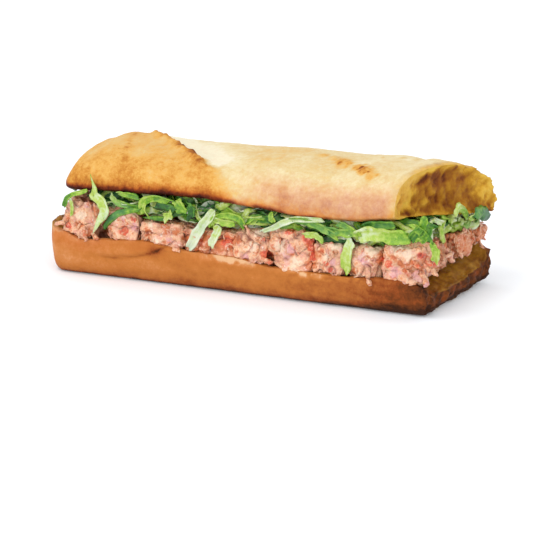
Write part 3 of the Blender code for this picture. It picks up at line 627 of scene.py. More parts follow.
    # The crags pressed into the torn end are darkened as painted shade
    crumbToneAndShade = 0.30 * foot + 0.10 * latticeNoise(points, 9, 44) + 0.04 * inner - 0.06 * cut * ease(-crag)
    rosy = 0.45 * ease((down - 0.5) / 0.4) * ease((30 - x) / 60) * ease(latticeNoise(points, 26, 51) + 0.5)
    makePiece("breadBase", points + standShift, faces, baseCrust, ["bun_bottom"],
              {"browningAndShading": browningAndShading, "crumb": crumb, "crumbToneAndShade": crumbToneAndShade, "rosy": rosy})


def arch(angle, half, rise):
    s = upperHalf
    under = (angle < 0) | (angle > np.pi)
    side = np.cos(angle)
    y = np.where(under, -half * side, -half * np.sign(side) * np.abs(side) ** s["domePower"])
    lift = rise * np.maximum(0, np.sin(angle)) ** s["domePower"]
    z = np.where(under, s["edgeDrop"] * np.sin(angle) / math.sin(math.radians(s["tuck"])), lift)
    return np.stack([y, z], -1)


def domeSection(v, w, half, rise, dish):  # the unit square laid on the dome's section, edge to edge
    s = upperHalf
    tuck, shoulder = math.radians(s["tuck"]), math.radians(s["shoulder"])

    def side(t, atBack):
        angle = blendTo(-tuck, shoulder, t)
        return arch(np.pi - angle if atBack else angle, half, rise)

    zero, one = np.zeros_like(v), np.ones_like(v)
    v2, w2 = v[:, None], w[:, None]
    top = arch(blendTo(shoulder, np.pi - shoulder, v), half, rise)
    reach = half * math.cos(tuck)
    bottom = np.stack([reach * (2 * v - 1), -s["edgeDrop"] + dish * (1 - np.abs(2 * v - 1) ** 4)], -1)
    level = blendTo(bottom, top, w2)
    upright = blendTo(side(w, False), side(w, True), v2)
    low = blendTo(side(zero, False), side(zero, True), v2)
    high = blendTo(side(one, False), side(one, True), v2)
    return level + upright - blendTo(low, high, w2)


blisters = [  # along, across, radius and browning of the bubbles at the second score and on the crest
    (30.9, -0.6, 2.6, 0.20), (38.7, -3.5, 2.6, 0.14), (44.0, -8.0, 3.2, 0.26), (49.0, -12.4, 3.4, 0.30),
    (57.0, -15.0, 3.0, 0.26), (61.8, -18.6, 3.2, 0.40), (67.0, -23.0, 3.0, 0.24), (43.7, -24.2, 2.6, 0.06),
    (62.0, 4.0, 1.6, 0.14), (72.0, 5.0, 1.8, 0.16), (79.0, 6.0, 1.6, 0.14),
]
upperLook = {  # browning as on the lower half. Places on the cut run from 0 to 1, front to back and upwards
    "valleyDepth": 0.55, "valleyPaleness": 0.44, "blisterHeight": 0.26, "blisterBrowning": 1.35,
    "crestHills": [(66, 14, 0.7), (46, 13, 1.1)],  # along, reach and height
    "endPull": 2.0, "endLift": 2.3, "pitDepth": 1.5, "holeDepth": 1.8, "flakeFront": 0.5, "flakeBack": 2.4,
    "pale": 0.25, "amber": 0.52, "lowAmber": 0.13, "edgeBrowning": 0.14, "rimBrowning": 0.12, "darkest": 0.88,
    "blushEdge": 0.98, "blushAbove": 0.42, "blushWide": 0.60,
    "turnIn": 0.32,  # how far along the cut the crust turns in at the top
    "bevelGold": 0.20, "turnInGold": 0.26, "backGold": 0.16,
    "cutLightAndHollowShade": [  # across and its reach, up and its reach, and how much lighter; the darker ones are painted shade in the hollows at the front-bottom and under the top
        (0.38, 0.16, 0.30, 0.20, 0.06), (0.17, 0.05, 0.14, 0.13, -0.30), (0.40, 0.07, 0.86, 0.09, -0.26),
    ],
}


def lidShell():  # the smooth dome, and what each of its points belongs to
    s = upperHalf
    grid, faces = unitShell(s["cells"])
    u, v, w = grid.T
    right = blendTo(s["rightFront"], s["rightBack"], ease(v))
    x = stations(u, s["left"], right)
    half = s["halfWidth"] * narrowing(x - s["left"], s["corner"], s["squareness"])
    rise = curveAt(s["crest"], x) - edgeHeight(x, 0 * x)
    y, z = domeSection(v, w, half, rise, s["dish"] * ease(1 - (x - s["dishEnd"]) / s["dishRun"])).T
    outside = (v < 0.001) | (v > 0.999)
    fromSide, fromEdge = np.minimum(v, 1 - v) * 2 * s["halfWidth"], np.minimum(w, 1 - w) * s["endHeight"]
    return SimpleNamespace(
        v=v, w=w, x=x, y=y, half=half, rise=rise, fromRight=right - x, faces=faces,
        points=np.stack([x, y, z + edgeHeight(x, y)], 1), onTop=ease(w), cut=(u > 0.999).astype(float),
        under=(w < 0.001) & (v > 0.001) & (v < 0.999), outside=outside,
        skin=((w > 0.999) | outside | (u < 0.001)).astype(float), rimDistance=np.minimum(fromSide, fromEdge))


def raiseEar(lid):  # a ragged lip on the left of the first score, and a pale valley on its right
    ear, points = upperHalf["ear"], lid.points
    along, off = lineMarks(ear, lid.x, lid.y)
    off = off + 1.6 * latticeNoise(points, 9, 61) + 0.7 * latticeNoise(points, 3, 62)
    fade = ease(along / 0.15 + 0.5) * ease((1 - along) / 0.15 + 0.5)
    hump = hill(off + 0.4 * ear["width"], ear["width"]) ** 1.6
    lip = ease((1.0 - off) / 1.6)  # steep on the valley side
    valley = hill(off - 1.2 * ear["width"], 1.6 * ear["width"])
    ragged = 0.75 + 0.35 * roughNoise(points, 4.5, 3, 64)
    lift = hump * lip * ragged - upperLook["valleyDepth"] * valley
    points[:, 2] += lid.onTop * fade * ear["height"] * lift
    lid.along, lid.off, lid.valley = along, off, valley * fade
    lid.ridge = hill(off - 0.1, 1.7) * fade * lid.onTop
    lid.flank = hill(off + 2.0, 3.2) * fade * lid.onTop


def raiseBlisters(lid):  # the second score only blistered
    look, blister, points = upperLook, upperHalf["blister"], lid.points
    along, off = lineMarks(blister, lid.x, lid.y)
    lid.band = hill(off, blister["width"]) * ease(along / 0.2 + 0.5) * ease((1 - along) / 0.2 + 0.5)
    bubbles = np.clip(latticeNoise(points, 7.5, 71) - 0.05, 0, 1)
    points[:, 2] += lid.onTop * lid.band * blister["height"] * (0.25 + 0.5 * bubbles)
    lid.blotch, bulge = np.zeros(len(points)), np.zeros(len(points))
    ruffled = roughNoise(points, 3.4, 3, 77)
    broken = np.clip(0.45 + 1.3 * latticeNoise(points, 3.2, 78), 0, 1.3)  # the baked rings are broken up
    for spotX, spotY, radius, amount in blisters:
        away = np.hypot((lid.x - spotX) / radius, (lid.y - spotY) / (1.3 * radius)) + 0.45 * ruffled
        lid.blotch += amount * (0.85 * hill(away, 1) + 0.5 * broken * hill(away - 0.85, 0.26))
        bulge = np.maximum(bulge, ease(1.1 - away) * radius * look["blisterHeight"])
    points[:, 2] += lid.onTop * bulge


def roughenLid(lid):  # low waves in the crust, and a torn lower edge
    points, onTop = lid.points, lid.onTop
    hills = sum(height * hill(lid.x - place, reach) for place, reach, height in upperLook["crestHills"])
    points[:, 2] += onTop * (0.3 * latticeNoise(points, 19, 72) + hills)
    points[:, 2] += onTop * 0.16 * roughNoise(points * [1, 0.6, 1], 4.0, 3, 73)
    outward = np.where(lid.v < 0.5, -1, 1) * ease(1 - np.abs(lid.w - 0.5) * 0.6) * lid.outside
    points[:, 1] += outward * 0.2 * roughNoise(points, 5, 3, 74)
    lowEdge = ease((0.25 - lid.w) / 0.25) * (1 - lid.under)
    points[:, 2] += lowEdge * 0.35 * roughNoise(points, 3.2, 3, 75)
    points[:, 2] += lid.under * 0.4 * roughNoise(points, 4.0, 3, 76)


def tearLid(lid):  # the torn end: a rounded rim with ragged flakes round hollow, pitted crumb
    s, look, points, rise, cut = upperHalf, upperLook, lid.points, lid.rise, lid.cut
    roll = 1 - np.sqrt(1 - np.clip(0.96 - lid.fromRight / 6, 0, 0.96) ** 2)
    middle = edgeHeight(lid.x, lid.y) + 0.35 * rise
    pull = roll * look["endPull"]
    points[:, 1] -= np.sign(lid.y) * pull * np.clip(np.abs(lid.y) / lid.half, 0, 1) ** 2
    points[:, 2] -= np.clip((points[:, 2] - middle) / (0.65 * rise + 1), -0.2, 1) * pull
    inside = ease((lid.rimDistance - 1.0) / 4.0)
    lid.pits = roughNoise(points, 8, 4, 81)
    lid.holes = np.clip(-roughNoise(points, 6.5, 3, 83) - 0.35, 0, 1)
    points[:, 0] -= cut * s["cutHollow"] * np.sin(np.pi * lid.v) * np.sin(np.pi * lid.w) ** 0.7
    points[:, 0] += cut * inside * (look["pitDepth"] * lid.pits - look["holeDepth"] * lid.holes)
    lid.flakes = roughNoise(points, 4.6, 3, 85)
    toBack = ease((lid.v - 0.35) / 0.4)
    points[:, 0] += cut * (1 - inside) * lid.flakes * blendTo(look["flakeFront"], look["flakeBack"], toBack)
    overFront = np.sin(np.pi * np.clip(1.05 * lid.v, 0, 1))
    points[:, 2] += lid.onTop * look["endLift"] * ease((lid.x - 80) / 8) * overFront
    points[:, 2] += ease(1 - lid.fromRight / 5) * lid.onTop * 0.8 * lid.flakes * toBack


def brownLid(lid):  # amber on the left of the ear and pale on its right, and where each is darker
    look, points, x, y = upperLook, lid.points, lid.x, lid.y
    level = np.clip((points[:, 2] - edgeHeight(x, y)) / np.maximum(1, lid.rise), 0, 1)
    soft = 3 + 13 * ease((lid.along - 0.55) / 0.7)
    leftZone = ease(0.5 - lid.off / soft) * ease((lid.along + 0.8) / 0.5)
    pale = look["pale"] + 0.07 * latticeNoise(points, 18, 91) + 0.04 * latticeNoise(points, 7, 92)
    pale += 0.05 * hill(x - 8, 24) * (1 - level) - 0.05 * ease((x - 30) / 30)
    alongCrest = ease((level - 0.86) / 0.12) * ease((x + 15) / 20) * ease((30 - x) / 20)
    pale += 0.10 * alongCrest
    amber = look["amber"] + 0.06 * latticeNoise(points, 15, 93) + 0.05 * ease((-84 - x) / 12)
    amber += look["lowAmber"] * (1 - level) ** 1.4 - 0.05 * ease((level - 0.75) / 0.2)
    amber += 0.12 * hill(x + 74 + 0.3 * y, 2.2) * ease((level - 0.55) / 0.2)  # a darker streak
    browningAndShading = blendTo(pale, amber, leftZone) - look["valleyPaleness"] * lid.valley * (1 - leftZone)
    browningAndShading += lid.flank * (0.14 + 0.12 * lid.flakes + 0.12 * np.clip(lid.along, 0, 1))
    browningAndShading += lid.ridge * (0.16 + 0.40 * hill(lid.along - 0.62, 0.18))
    browningAndShading += (0.05 * lid.band + look["blisterBrowning"] * lid.blotch) * lid.onTop
    browningAndShading += 0.10 * ease((0.36 - level) / 0.36) * (0.7 + 0.6 * ease(latticeNoise(points, 11, 96) + 0.5))
    browningAndShading += look["edgeBrowning"] * lid.line + look["rimBrowning"] * lid.rim
    browningAndShading = np.where(lid.skin > 0, np.minimum(browningAndShading, look["darkest"]), browningAndShading)
    return np.where(lid.cut > 0, 0.52 + 0.14 * (1 - lid.w) + 0.05 * lid.flakes, browningAndShading)


def blushLid(lid):  # the glaze is darkest in a line along the lower edge, and rosy above it towards the right
    look, points, x = upperLook, lid.points, lid.x
    patches = 0.5 + 0.5 * latticeNoise(points, 7, 97)
    edge = lid.line * (0.42 + 0.58 * ease((70 - x) / 40)) * (0.9 + 0.4 * latticeNoise(points, 5, 95))
    above = ease((9 - lid.overEdge) / 7) * ease((x + 90) / 40) * (0.3 + patches)
    wide = ease((21 - lid.overEdge) / 12) * ease((x + 5) / 30) * (0.55 + 0.5 * patches)
    rosy = np.maximum(look["blushAbove"] * above, look["blushWide"] * wide)
    return np.maximum(look["blushEdge"] * edge, rosy) * (1 - 0.7 * lid.rim) * (1 - lid.under)


def bareCrumb(lid):  # how much crumb shows instead of crust, and how light it is, with painted shade in its holes and hollows
    look, v, w, cut = upperLook, lid.v, lid.w, lid.cut
    onRim = lid.skin * (1 - cut) * ease(1.1 - lid.fromRight / 4.5 + 0.3 * lid.flakes)
    slant = look["turnIn"] * w**1.4  # the crust turns in over the front of the cut, up to a slanting line
    turnIn = ease((v - 0.01 - slant + 0.03 * lid.flakes) / 0.10)
    crumb = np.maximum(cut * blendTo(0.62, 1, turnIn), 0.7 * onRim * ease((v + 0.25) / 0.9))
    crumb = np.clip(np.maximum(crumb, lid.under), 0, 1)
    # Painted shade by depth: lighter on the raised crumb and darker in the holes
    light = 0.10 * lid.pits - 0.24 * lid.holes
    light += look["bevelGold"] * cut * hill(lid.rimDistance, 2.4)
    light += look["turnInGold"] * cut * (1 - ease((v - 0.08 - slant) / 0.10))
    light += look["backGold"] * cut * ease((v - 0.62) / 0.25) * ease((w - 0.25) / 0.4)
    # Painted shade in the cut's hollows, and one lighter patch
    for acrossAt, acrossReach, upAt, upReach, amount in look["cutLightAndHollowShade"]:
        light += amount * cut * hill(v - acrossAt, acrossReach) * hill(w - upAt, upReach)
    light -= 0.22 * cut * ease((v - 0.8) / 0.15) * ease((0.25 - w) / 0.2)
    return crumb, blendTo(light, 0.20, onRim)


def makeUpperHalf():
    lid = lidShell()
    raiseEar(lid)
    raiseBlisters(lid)
    roughenLid(lid)
    tearLid(lid)
    lid.overEdge = np.clip(lid.points[:, 2] - edgeHeight(lid.x, lid.y) + upperHalf["edgeDrop"], 0, 30)
    lid.line = hill(np.maximum(lid.overEdge - 1.4, 0), 2.2) * (lid.fromRight > 1)
    lid.rim = ease(1 - lid.fromRight / 7)
    crumb, light = bareCrumb(lid)
    makePiece("breadLid", lid.points + standShift, lid.faces, topCrust, ["bun_top"],
              {"browningAndShading": brownLid(lid), "crumb": crumb, "crumbToneAndShade": light, "rosy": blushLid(lid)})


makeLowerHalf()
makeUpperHalf()
print("bread made")


# The lobster

chunkLooks = {  # the way the fibres run, how peach the flesh is, where the orange-red skin faces and how much
    "lobster_front_1": {"fibre": (0.2, 0.1, 1.0), "tint": 0.12, "skin": (0.3, -0.6, 0.9), "red": 0.22,
                        "lift": 2.6},
    "lobster_front_2": {"fibre": (0.3, 0.2, 1.0), "tint": 0.0, "skin": (-0.8, -0.6, -0.5), "red": 0.16,
                        "lift": 2.2},
    "lobster_front_3": {"fibre": (1.0, 0.1, 0.2), "tint": 0.15, "skin": (0.4, -0.8, 0.1), "red": 0.26},
    "lobster_front_4": {"fibre": (0.4, 0.1, 1.0), "tint": 0.45, "skin": (0.2, -1.0, 0.2), "red": 0.38},
    "lobster_front_5": {"fibre": (1.0, 0.1, 0.2), "tint": 0.45, "skin": (0.3, -1.0, 0.1), "red": 0.36},
    "lobster_front_6": {"fibre": (0.5, 0.1, 1.0), "tint": 0.08, "skin": (0.8, -0.2, -0.6), "red": 0.22},
    "lobster_front_7": {"fibre": (0.9, 0.2, 0.4), "tint": 0.08, "skin": (1.0, -0.1, 0.3), "red": 0.28,
                        "lift": 1.6},
    "lobster_front_8": {"fibre": (0.2, 0.1, 1.0), "tint": 0.12, "skin": (-0.9, -0.3, 0.2), "red": 0.18},
    "lobster_front_9": {"fibre": (0.3, 0.1, 1.0), "tint": 0.12, "skin": (1.0, -0.2, 0.2), "red": 0.24},
    "lobster_front_10": {"fibre": (1.0, 0.2, 0.2), "tint": 0.22, "skin": (1.0, -0.4, 0.2), "red": 0.32,
                         "lift": 2.2},
    "lobster_end_1": {"fibre": (0.1, 0.2, 1.0), "tint": 0.55, "skin": (0.2, 0.6, -0.4), "red": 0.24,
                      "shred": 2.0},
    "lobster_end_2": {"fibre": (0.1, 0.3, 1.0), "tint": 0.6, "skin": (0.4, -0.8, 0.0), "red": 0.26,
                      "shred": 2.0},
    "lobster_end_3": {"fibre": (0.6, 0.5, 0.4), "tint": 0.75, "skin": (0.6, 0.2, 0.6), "red": 0.34,
                      "shred": 1.5},
}
plainLook = {"fibre": (0.3, 0.3, 1.0), "tint": 0.3, "skin": (0.5, 0.5, 0.5), "red": 0.26}
meatSpots = {  # spots on the front of the meat: bright skin, rusty skin, dressing that also paints highlights, and lilac flesh, each as along, height and radius
    # each as along, height and radius
    "red": [(-82.4, 38.3, 1.8), (-62.7, 25.7, 2.8), (-57.1, 32.8, 2.2), (27.8, 37, 2.8),
            (37.9, 33.4, 2.8), (13.9, 22.1, 2.6), (48.3, 22.1, 1.7), (50.2, 19.2, 1.4),
            (81.7, 25.8, 2.4), (98.4, 32.2, 1.6), (-5.6, 26.8, 2.4), (-93.3, 25.4, 1.8), (39.6, 29, 2.2),
            (40.6, 24.5, 2.2), (78, 27.5, 1.6), (-20.6, 25, 2), (102.4, 27, 1.8)],
    "rust": [(-38.5, 28.9, 2.4), (-34.6, 29, 2), (-41.7, 32.2, 2), (-18.1, 25.7, 3.4),
             (-21.3, 22.3, 2.4), (-6.4, 26.3, 3), (-0.9, 28.5, 2.4), (-9.5, 24.5, 2.4),
             (39.8, 29.6, 2.8), (41.4, 25.4, 3.2), (39.4, 20.7, 3), (17, 21.7, 2.6), (76.3, 26.6, 2),
             (76.3, 29.5, 1.8), (93.8, 27.6, 2.2), (87.8, 26.5, 2), (101.4, 28.1, 2.8), (103, 24.7, 2.8),
             (-82.2, 22.2, 2.4), (-49.6, 27.2, 1.6), (-29.1, 25.1, 1.6), (20.1, 27.6, 1.8),
             (63.3, 19.9, 1.6), (-78.5, 32.5, 1.8), (-87.5, 26.5, 1.8), (-80.5, 35, 1.6)],
    "creamAndHighlight": [(-55.9, 36.9, 2.2), (-48.8, 30.7, 1.8), (11.9, 33, 3.4), (23.2, 28.4, 3.2),
              (7.6, 25.8, 2.6), (71.7, 31.9, 3.4), (86.2, 35.1, 4), (90.8, 32.7, 3.2), (53.3, 32.3, 2.6),
              (48.7, 26.2, 2), (31.7, 21.2, 2.6), (66.4, 17.3, 2.2), (-86.1, 31.5, 2), (-44.9, 22.5, 2),
              (-25.9, 32.2, 2)],
    "lilac": [(-57.5, 28.5, 3.2), (-63, 32.4, 2.4), (-83.6, 35.9, 2.6), (-80.5, 28.1, 2.4),
              (-37, 25, 2.6), (27.1, 22.2, 3.6), (28.6, 26.8, 3), (69, 26.5, 3.6), (84.7, 22.4, 3.6),
              (99.2, 21.3, 2.8), (51.8, 23.6, 2.6), (5.3, 21, 2.4), (56.4, 29.4, 2.2)],
}
meatShades = {  # how much of each shows, how much that varies and over what length
    "skin": (-0.16, 0.18, 5.5), "rust": (0.14, 0.20, 4.5), "lilac": (0.06, 0.34, 6.0), "dressingAndHighlight": (0, 0.10, 5),
}
flesh = {
    "frontVoxel": 0.5, "otherVoxel": 0.9, "coreVoxel": 1.4,
    "lump": 1.25, "flake": 0.6, "grain": 0.32, "crevice": 0.9, "sag": 1.7, "spread": 0.9,
    "backSpread": 1.62,
}


def spotMask(points, spots):  # 1 at a spot on the front, fading to 0 round it
    mask = np.zeros(len(points))
    x, y, z = (points - standShift).T
    for along, height, radius in spots:
        mask = np.maximum(mask, hill(x - along, radius) * hill(z - height, radius))
    return mask * (y < -20)


def fleshRelief(points, normals, look, seed):  # lumps, flakes along one way, grains and cracks
    fibre = np.array(look["fibre"]) / np.linalg.norm(look["fibre"])
    warp = np.stack([latticeNoise(points, 5, seed + k) for k in range(3)], 1)
    bent = points + 1.5 * warp
    lengthwise = (bent @ fibre)[:, None] * fibre
    drawn = bent - 0.6 * lengthwise  # squeezed along the fibre, so the pattern is long there
    lumps = latticeNoise(points, 7, seed + 5) + 0.9 * latticeNoise(points, 12, seed + 4)
    flakes = latticeNoise(drawn, 3.6, seed + 6) - 0.9 * np.abs(latticeNoise(drawn, 2.4, seed + 9))
    grains = roughNoise(drawn, 1.5, 2, seed + 3)
    cracks = np.exp(-((latticeNoise(bent, 7.0, seed + 8) / 0.08) ** 2))
    push = flesh["lump"] * lumps + flesh["flake"] * flakes + flesh["grain"] * grains
    push -= flesh["crevice"] * cracks
    push -= look.get("shred", 0) * np.abs(latticeNoise(bent - 0.8 * lengthwise, 2.6, seed + 2))
    return points + normals * (push - 0.35)[:, None], push


def makeChunk(node, voxel, seed):
    look = chunkLooks.get(node, plainLook)
    points, normals, faces = denseCopy(node, voxel, 3)
    facing = normals @ (np.array(look["skin"]) / np.linalg.norm(look["skin"]))
    points, push = fleshRelief(points, normals, look, seed)
    spread = (push - push.mean()) / (push.std() + 1e-9)
    if "front" in node or "back" in node:  # the meat's foot sags over the bread's rim
        x, y, z = (points - standShift).T
        low = ease((rimHeight(x, y) + 5 - z) / 4.5) * ease((np.abs(y) - 22) / 8)
        points += np.stack([0 * low, flesh["sag"] * low * np.sign(y), -0.6 * flesh["sag"] * low], 1)
        closing = flesh["spread"] if "front" in node else flesh["backSpread"]
        points[:, 0] += closing * normals[:, 0]  # and closes up to the next
    high = ease((points[:, 2] - points[:, 2].mean()) / np.ptp(points[:, 2]) * 2)
    points += np.stack([0 * high, -0.5 * look.get("lift", 0) * high, look.get("lift", 0) * high], 1)
    stringy = look.get("shred", 0) * (0.5 * latticeNoise(points * [1, 1, 0.2], 2.0, seed + 16) - 0.05)
    red, rust, creamAndHighlight, lilac = (spotMask(points, spots) for spots in meatSpots.values())

    def patchy(kind, step):
        amount, varies, size = meatShades[kind]
        return amount + varies * latticeNoise(points, size, seed + step)

    skin = look["red"] + patchy("skin", 12) + 0.34 * np.clip(facing - 0.45, 0, 1) + 0.9 * red - 0.5 * creamAndHighlight
    rusty = 0.5 * look["tint"] + patchy("rust", 13) + 0.9 * rust - 0.3 * (creamAndHighlight + lilac)
    lilacs = patchy("lilac", 14) + 0.7 * lilac - 0.5 * rust - 0.3 * look["tint"]
    # Darker red where the relief is pressed in, partly as painted crevice shade
    hollowRedAndShade = np.clip(-0.22 - 0.50 * spread + 0.5 * stringy, 0, 0.85)
    # Whiter on the high flakes and the cream spots: dressing, and painted highlight
    dressingAndHighlight = np.clip(0.08 * spread, -0.15, 0.15) + patchy("dressingAndHighlight", 15) + 0.65 * creamAndHighlight - 0.3 * np.abs(stringy)
    return makePiece(f"meat_{node}", points, faces, lobster, [node],
                     {"skin": skin, "rust": rusty, "lilac": lilacs, "hollowRedAndShade": hollowRedAndShade, "dressingAndHighlight": dressingAndHighlight,
                      "tint": np.full(len(points), look["tint"])})


chunkNodes = [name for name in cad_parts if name.startswith("lobster_") and name != "lobster_filling"]
chunks = []
for count, node in enumerate(sorted(chunkNodes)):
    near = "front" in node or "end" in node
    chunks.append(makeChunk(node, flesh["frontVoxel"] if near else flesh["otherVoxel"], 100 + 20 * count))
core, coreNormals, coreFaces = denseCopy("lobster_filling", flesh["coreVoxel"], 2)
core, corePush = fleshRelief(core, coreNormals, plainLook, 700)
core[:, 1] -= 6.5 * ease((-12 - core[:, 1]) / 5)  # the mixture swells into the gaps between the front chunks
# The core's pressed-in places are darkened as painted shade
makePiece("meatCore", core, coreFaces, lobster, ["lobster_filling"],
          {"skin": 0.25 + 0.3 * latticeNoise(core, 6, 710), "rust": 0.3 + 0.3 * latticeNoise(core, 5, 711),
           "tint": np.full(len(core), 0.4), "hollowRedAndShade": np.clip(0.1 - 0.4 * corePush, 0, 0.8)})
print("lobster chunks made:", len(chunks))


# Slivers of meat that came loose from the chunks

slivers = {
    "perChunk": 40, "hiddenShare": 0.4, "length": (1.6, 4.6), "radius": (0.4, 0.95), "rings": 6, "sides": 6,
    "seed": 5,
}


def sweep(paths, radii, flatness, sides):  # closed thin bodies round many paths at once
    count, rings = paths.shape[:2]
    tangents = np.gradient(paths, axis=1)
    tangents /= np.linalg.norm(tangents, axis=2, keepdims=True) + 1e-9
    hint = np.where(np.abs(tangents[:, :1, 2:]) > 0.8, [[[1.0, 0, 0]]], [[[0, 0, 1.0]]])
    sideways = np.cross(tangents, np.broadcast_to(hint, tangents.shape))
    sideways /= np.linalg.norm(sideways, axis=2, keepdims=True) + 1e-9
    upward = np.cross(sideways, tangents)
    angles = np.arange(sides) / sides * 2 * np.pi
    ring = (sideways[:, :, None] * np.cos(angles)[None, None, :, None]
            + upward[:, :, None] * np.sin(angles)[None, None, :, None] * flatness)
    points = (paths[:, :, None] + ring * radii[:, :, None, None]).reshape(-1, 3)
    faces = []
    for one in range(count):
        first = one * rings * sides
        for r in range(rings - 1):
            for k in range(sides):
                a, b = first + r * sides + k, first + r * sides + (k + 1) % sides
                faces.append((a, b, b + sides, a + sides))
        faces.append(tuple(first + k for k in range(sides))[::-1])
        faces.append(tuple(first + (rings - 1) * sides + k for k in range(sides)))
    return points, faces


looseMeat = [  # shreds that show one by one: from, to, radius, how red and how lilac
    ((91.1, -37.4, 25.9), (93.8, -38.6, 22.1), 1.6, 0.3, 0.4),
    ((96.5, -37.4, 25.5), (98.6, -38.6, 20.7), 1.7, 0.2, 0.6),
    ((100.2, -37.4, 25.0), (102.4, -38.6, 19.6), 1.6, 0.4, 0.3),
    ((102.4, -37.4, 20.6), (102.9, -38.6, 16.6), 1.3, 0.2, 0.7),
    ((101.8, -37.4, 28.2), (105.5, -38.6, 25.6), 1.6, 0.5, 0.1),
    ((105.0, -37.4, 26.6), (109.2, -38.6, 23.5), 1.2, 0.2, 0.2),
    ((95.4, -37.4, 29.5), (99.7, -38.6, 27.0), 1.4, 0.6, 0.1),
    ((103.3, -37.4, 32.5), (105.5, -38.6, 27.7), 1.5, 0.6, 0.1),
    ((70.9, -37.4, 22.5), (73.0, -38.6, 15.5), 1.5, 0.2, 0.3),
    ((-83.8, -37.4, 27.0), (-82.2, -38.6, 19.8), 1.3, 0.5, 0.1),
    ((-78.8, -37.4, 24.4), (-75.5, -38.6, 21.6), 1.2, 0.5, 0.1),
    ((2.8, -37.4, 37.1), (6.0, -38.6, 34.4), 1.2, 0, 0.1),
    ((14.7, -37.4, 21.9), (19.1, -38.6, 19.3), 1.3, 0.6, 0.1),
    ((-98.9, -37.4, 26.8), (-94.5, -38.6, 25.7), 1.3, 0, 0.1),
    ((-34.5, -37.4, 22.3), (-31.2, -38.6, 19.6), 1.2, 0.4, 0.2),
    ((-20.8, -37.4, 22.9), (-16.4, -38.6, 22.4), 1.2, 0.5, 0.1),
    ((104.0, 25.3, 26.8), (104.8, 31.0, 19.5), 1, 0.3, 0.1),
    ((101.0, 23.9, 29.9), (101.8, 29.5, 21.1), 1.3, 0.4, 0.2),
    ((101.0, -6.7, 28.7), (101.8, -2.5, 20.9), 1.3, 0.3, 0.4),
    ((101.0, 5.3, 27.6), (101.8, 9.4, 20.2), 1.3, 0.4, 0.1),
    ((101.0, -15.8, 24.0), (101.8, -5.3, 25.3), 1.2, 0.1, 0.1),
    ((101.0, 14.4, 34.5), (101.8, 18.7, 26.1), 1.3, 0.1, 0.3),
    ((104.0, 27.9, 33.4), (104.8, 33.5, 26.7), 1.2, 0.4, 0.1),
]


def makeLooseMeat():
    paths, radii = [], []
    t = np.linspace(0, 1, 9)[:, None]
    for start, end, radius, _, _ in looseMeat:
        a, b = np.array(start) + standShift, np.array(end) + standShift
        line = a + (b - a) * t
        sway = np.stack([latticeNoise(line, 4, 40 + k) for k in range(3)], 1)
        paths.append(line + 1.8 * sway)
        taper = np.sin(np.pi * (0.1 + 0.8 * t[:, 0])) ** 0.4
        radii.append(radius * taper * (1 + 0.4 * latticeNoise(line, 2.5, 44)))
    sides = 14
    points, faces = sweep(np.array(paths), np.array(radii), 0.8, sides)
    points += 0.8 * np.stack([roughNoise(points, 2.2, 3, 60 + k) for k in range(3)], 1)
    red, lilac = (np.repeat([shred[k] for shred in looseMeat], 9 * sides) for k in (3, 4))
    hollowRedAndShade = np.clip(0.5 * latticeNoise(points, 2.2, 66), 0, 0.6)
    makePiece("meatLoose", points, faces, lobster, (),
              {"skin": red - 0.1, "rust": 0.2 + 0.5 * red, "lilac": lilac, "tint": 0 * red + 0.2,
               "hollowRedAndShade": hollowRedAndShade, "dressingAndHighlight": 0 * red})


def makeSlivers():
    draw = np.random.default_rng(slivers["seed"])
    paths, radii, skins = [], [], []
    for chunk in chunks:
        share = slivers["hiddenShare"] if "back" in chunk.name or "left" in chunk.name else 1.0
        points, normals = meshArrays(chunk.data)
        outside = np.flatnonzero((np.abs(points[:, 1]) > 26) | (points[:, 0] > 91) | (points[:, 0] < -92))
        middle = points.mean(0)
        for _ in range(int(slivers["perChunk"] * share)):
            k = draw.choice(outside)
            normal = normals[k]
            heading = draw.normal(size=3)
            heading -= heading @ normal * normal
            heading /= np.linalg.norm(heading) + 1e-9
            length = draw.uniform(*slivers["length"])
            t = np.linspace(0, 1, slivers["rings"])[:, None]
            bow = np.cross(heading, normal) * draw.normal(0, 0.22) * length
            lift = draw.uniform(0.0, 0.22) * length
            start = points[k] - heading * length * 0.4
            path = start + heading * length * t + bow * t**2 + normal * (lift * t**2 - 0.1)
            path[:, 2] -= 0.4 * t[:, 0] ** 2
            paths.append(path)
            thick = draw.uniform(*slivers["radius"])
            radii.append(thick * np.sin(np.pi * (0.08 + 0.84 * t[:, 0])) ** 0.5)
            skins.append(draw.uniform(0.0, 0.56))
    sides = slivers["sides"]
    points, faces = sweep(np.array(paths), np.array(radii), 0.65, sides)
    points += 0.25 * np.stack([latticeNoise(points, 1.1, 50 + k) for k in range(3)], 1)
    skin = np.repeat(skins, slivers["rings"] * sides)
    return makePiece("meatSlivers", points, faces, lobster, (),
                     {"skin": skin, "tint": np.full(len(points), 0.15), "hollowRedAndShade": np.full(len(points), 0.08),
                      "dressingAndHighlight": np.full(len(points), 0.02)})


makeSlivers()
makeLooseMeat()
print("loose slivers made")


# The lettuce

lettuce = {
    "seed": 21, "frontCount": 135, "backCount": 80, "rightCount": 30, "leftCount": 24,
    "length": (9, 26), "width": (2.6, 6.6), "ruffle": (0.3, 0.9), "thickness": 0.4, "rows": 22, "columns": 6,
    "coreVoxel": 1.4,
}
